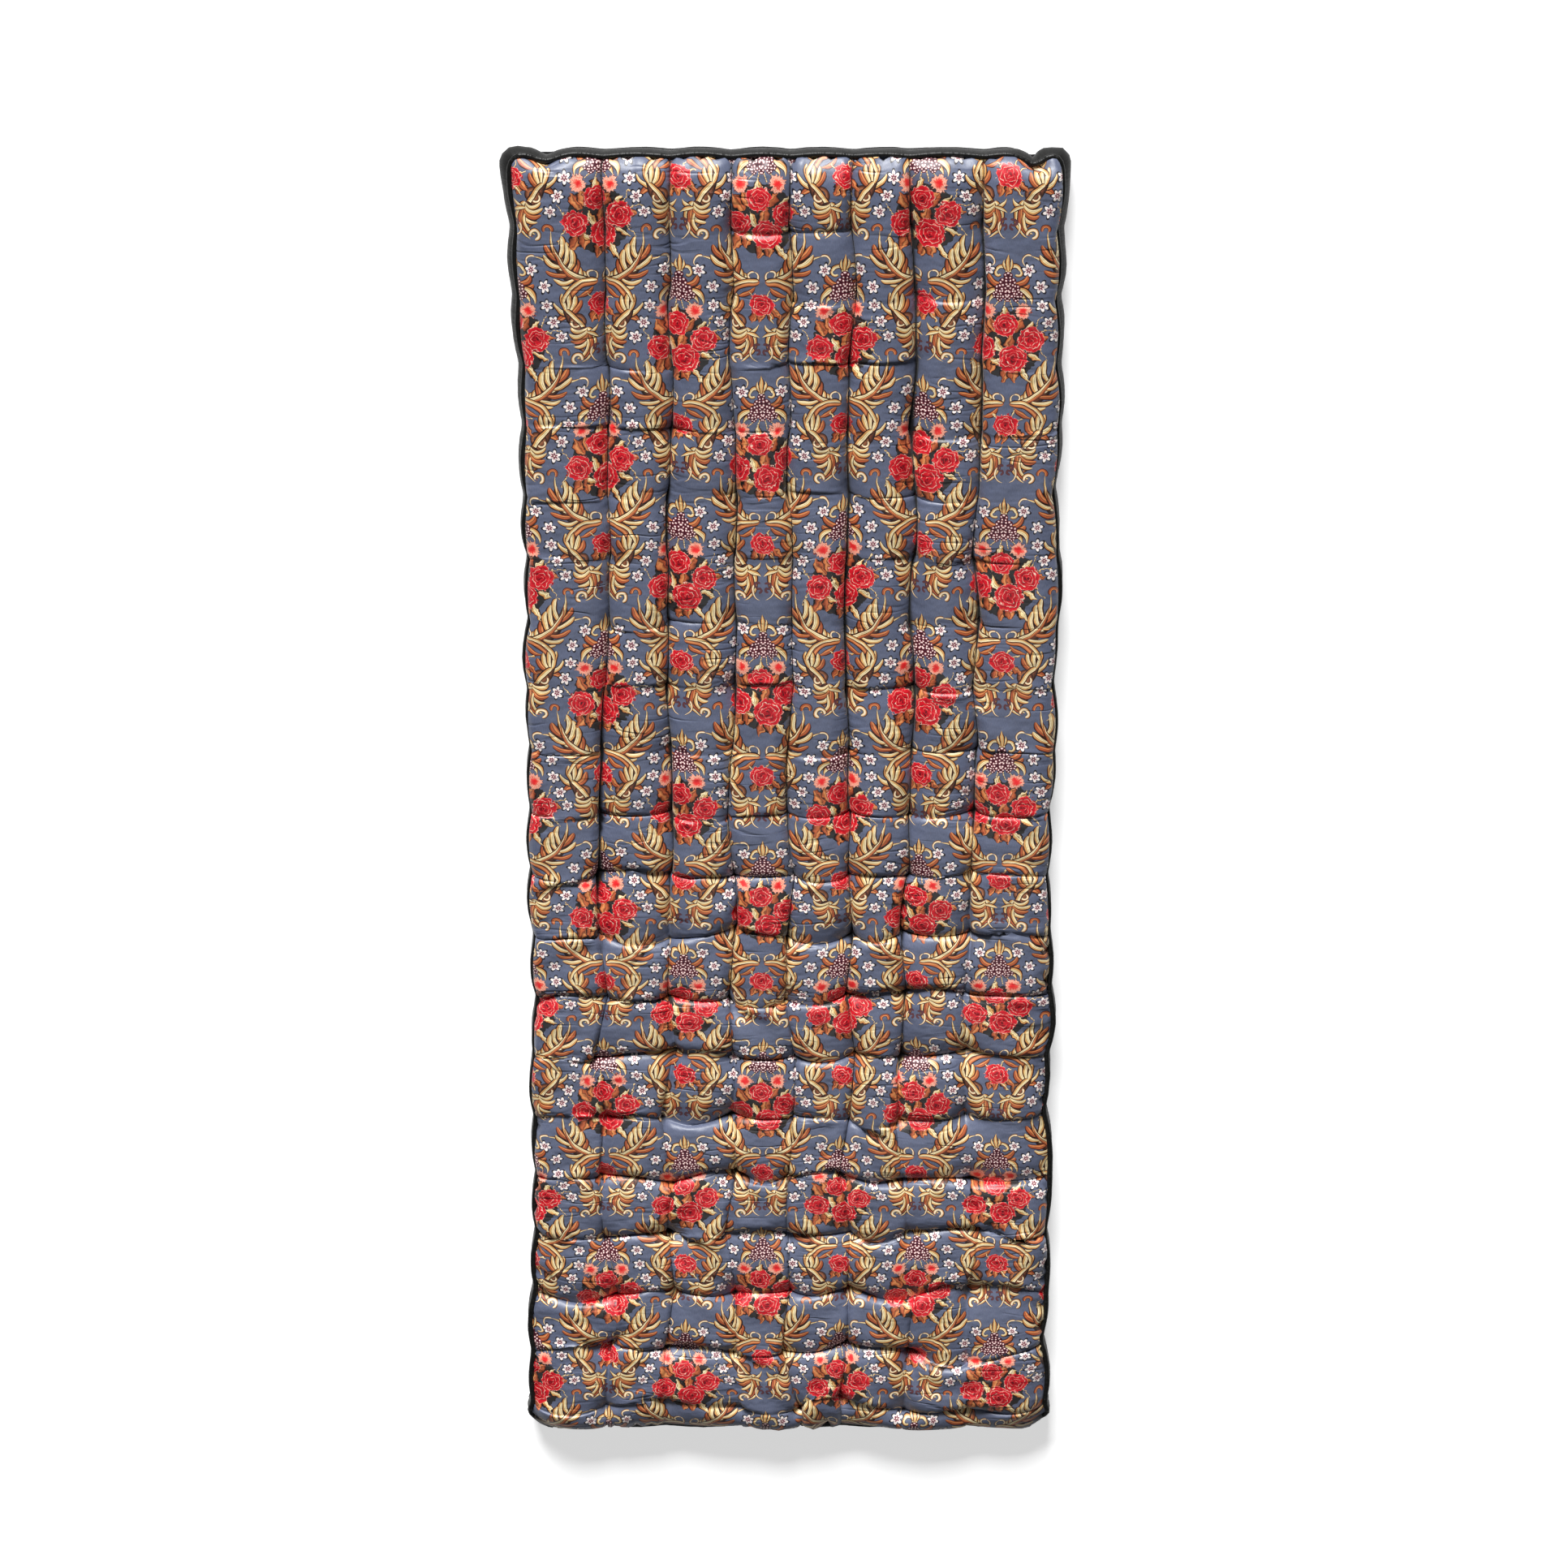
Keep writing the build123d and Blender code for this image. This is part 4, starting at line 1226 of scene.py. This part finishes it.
def back_cloth():
    """Plain-woven charcoal cotton, dusty from the floor."""
    sheet = Sheet("back_cloth")
    flat, u, v = sheet.cloth_place()
    warp = sheet.math("SINE", sheet.math("MULTIPLY", u, 5200.0))
    weft = sheet.math("SINE", sheet.math("MULTIPLY", v, 5200.0))
    weave = sheet.math("MULTIPLY", warp, weft)
    slub = sheet.noise(sheet.stretched(u, v, 700.0, 60.0))
    dust = sheet.noise(flat, 9.0, 4.0)
    tone = sheet.scale(slub, 0.5, sheet.math("MULTIPLY", dust, 0.5))
    colour = sheet.mix_colour(tone, srgb(34, 34, 37), srgb(74, 73, 74))
    height = sheet.scale(weave, 0.04, sheet.noise(flat, 34.0, 3.0))
    return sheet.finish(colour, height, 0.003, 0.7, (slub, 0.15, 0.72), 0.3, 0.3, 0.5)


def cotton_batting():
    """Carded cotton: matted off-white fibres."""
    sheet = Sheet("cotton_batting")
    place = sheet.node("ShaderNodeTexCoord").outputs["Object"]
    fibres = sheet.noise(place, 420.0, 4.0)
    clumps = sheet.noise(place, 40.0, 3.0)
    shade = sheet.scale(fibres, 0.5, sheet.math("MULTIPLY", clumps, 0.5))
    colour = sheet.mix_colour(shade, srgb(186, 178, 160), srgb(236, 230, 216))
    return sheet.finish(colour, shade, 0.004, 0.8, 0.95, 0.1, 0.4, 0.6)


def tuft_twine():
    """Waxed dark-red thread, with the twist of its plies."""
    sheet = Sheet("tuft_twine")
    place = sheet.node("ShaderNodeTexCoord").outputs["Object"]
    twist = sheet.node("ShaderNodeTexWave", place, bands_direction="DIAGONAL")
    twist.inputs["Scale"].default_value = 240.0
    twist.inputs["Distortion"].default_value = 1.5
    plies = twist.outputs["Fac"]
    colour = sheet.mix_colour(plies, srgb(58, 14, 24), srgb(112, 34, 44))
    return sheet.finish(colour, plies, 0.0006, 0.7, (plies, -0.15, 0.55), 0.4, 0.1, 0.5)


def bend_with_fold(thing):
    """Bakes the placement of a piece that runs through the fold into its mesh."""
    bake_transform(thing)


def halves(*pieces):
    """The solids, two for each piece running through the fold, that a piece replaces."""
    return [half + piece for piece in pieces for half in ("head_", "foot_")]


def dress(thing, material, nodes):
    """Gives a piece its material, and hides the solids it stands for."""
    thing.data.materials.append(material)
    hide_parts(*nodes)


def strip_ends(loop):
    """Which points of the seam each strip of border runs along, in order."""
    x, y = loop[:, 0], loop[:, 1]
    near_middle = np.abs(x) < END_BORDER_HALF + STRIP_OVERLAP
    chosen = {
        "left_border": x < -END_BORDER_HALF,
        "right_border": x > END_BORDER_HALF,
        "end_border_head": near_middle & (y > 0.0),
        "end_border_foot": near_middle & (y < 0.0),
    }
    for name, inside in chosen.items():
        numbers = np.nonzero(inside)[0]
        steps = np.diff(numbers)
        jump = np.argmax(steps) + 1 if np.max(steps) > 1 else 0
        yield name, np.roll(numbers, -jump)


def build():
    """All the pieces of the mattress."""
    print_cloth, border_cloth, plain_back = printed_sateen(), border_sateen(), back_cloth()
    cotton, thread = cotton_batting(), tuft_twine()
    places = tuft_grid()
    top, points, edge, flat = make_top_cover(places)
    dress(top, print_cloth, halves("top_cover"))
    back, back_flat = make_back_cover(places)
    dress(back, plain_back, halves("back_cover"))
    fill = make_fill(points)
    dress(fill, cotton, halves("upper_batting", "core_batting", "lower_batting"))
    loop, outward, at = even_loop(edge, SEAM_SPACING)
    pipings = []
    for name, seam in (("top_piping", loop), ("back_piping", back_loop(loop, outward))):
        cord = make_piping(name, seam, outward, at)
        dress(cord, border_cloth, halves(name))
        pipings.append(cord)
    for name, chosen in strip_ends(loop):
        strip, strip_flat = make_border(name, loop, outward, at, chosen)
        if name.startswith("end"):
            half = name.rsplit("_", 1)[1]
            dress(strip, border_cloth, [half + "_end_border"])
            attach(strip, HEAD if half == "head" else FOOT)
        else:
            dress(strip, border_cloth, halves(name))
            bend_with_fold(strip)
    for thing in (top, back, fill, *pipings):
        bend_with_fold(thing)
    tufts = places[1:-1, 1:-1].reshape(-1, 3)
    for half, body in (("head", HEAD), ("foot", FOOT)):
        chosen = tufts[(tufts[:, 1] > FOLD_Y) == (half == "head")]
        stitches = make_stitches(half + "_tuft_stitches", chosen)
        dress(stitches, thread, [half + "_tuft_ties"])
        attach(stitches, body)


build()
add_camera()
add_stage()
bpy.context.scene.view_settings.view_transform = "Standard"
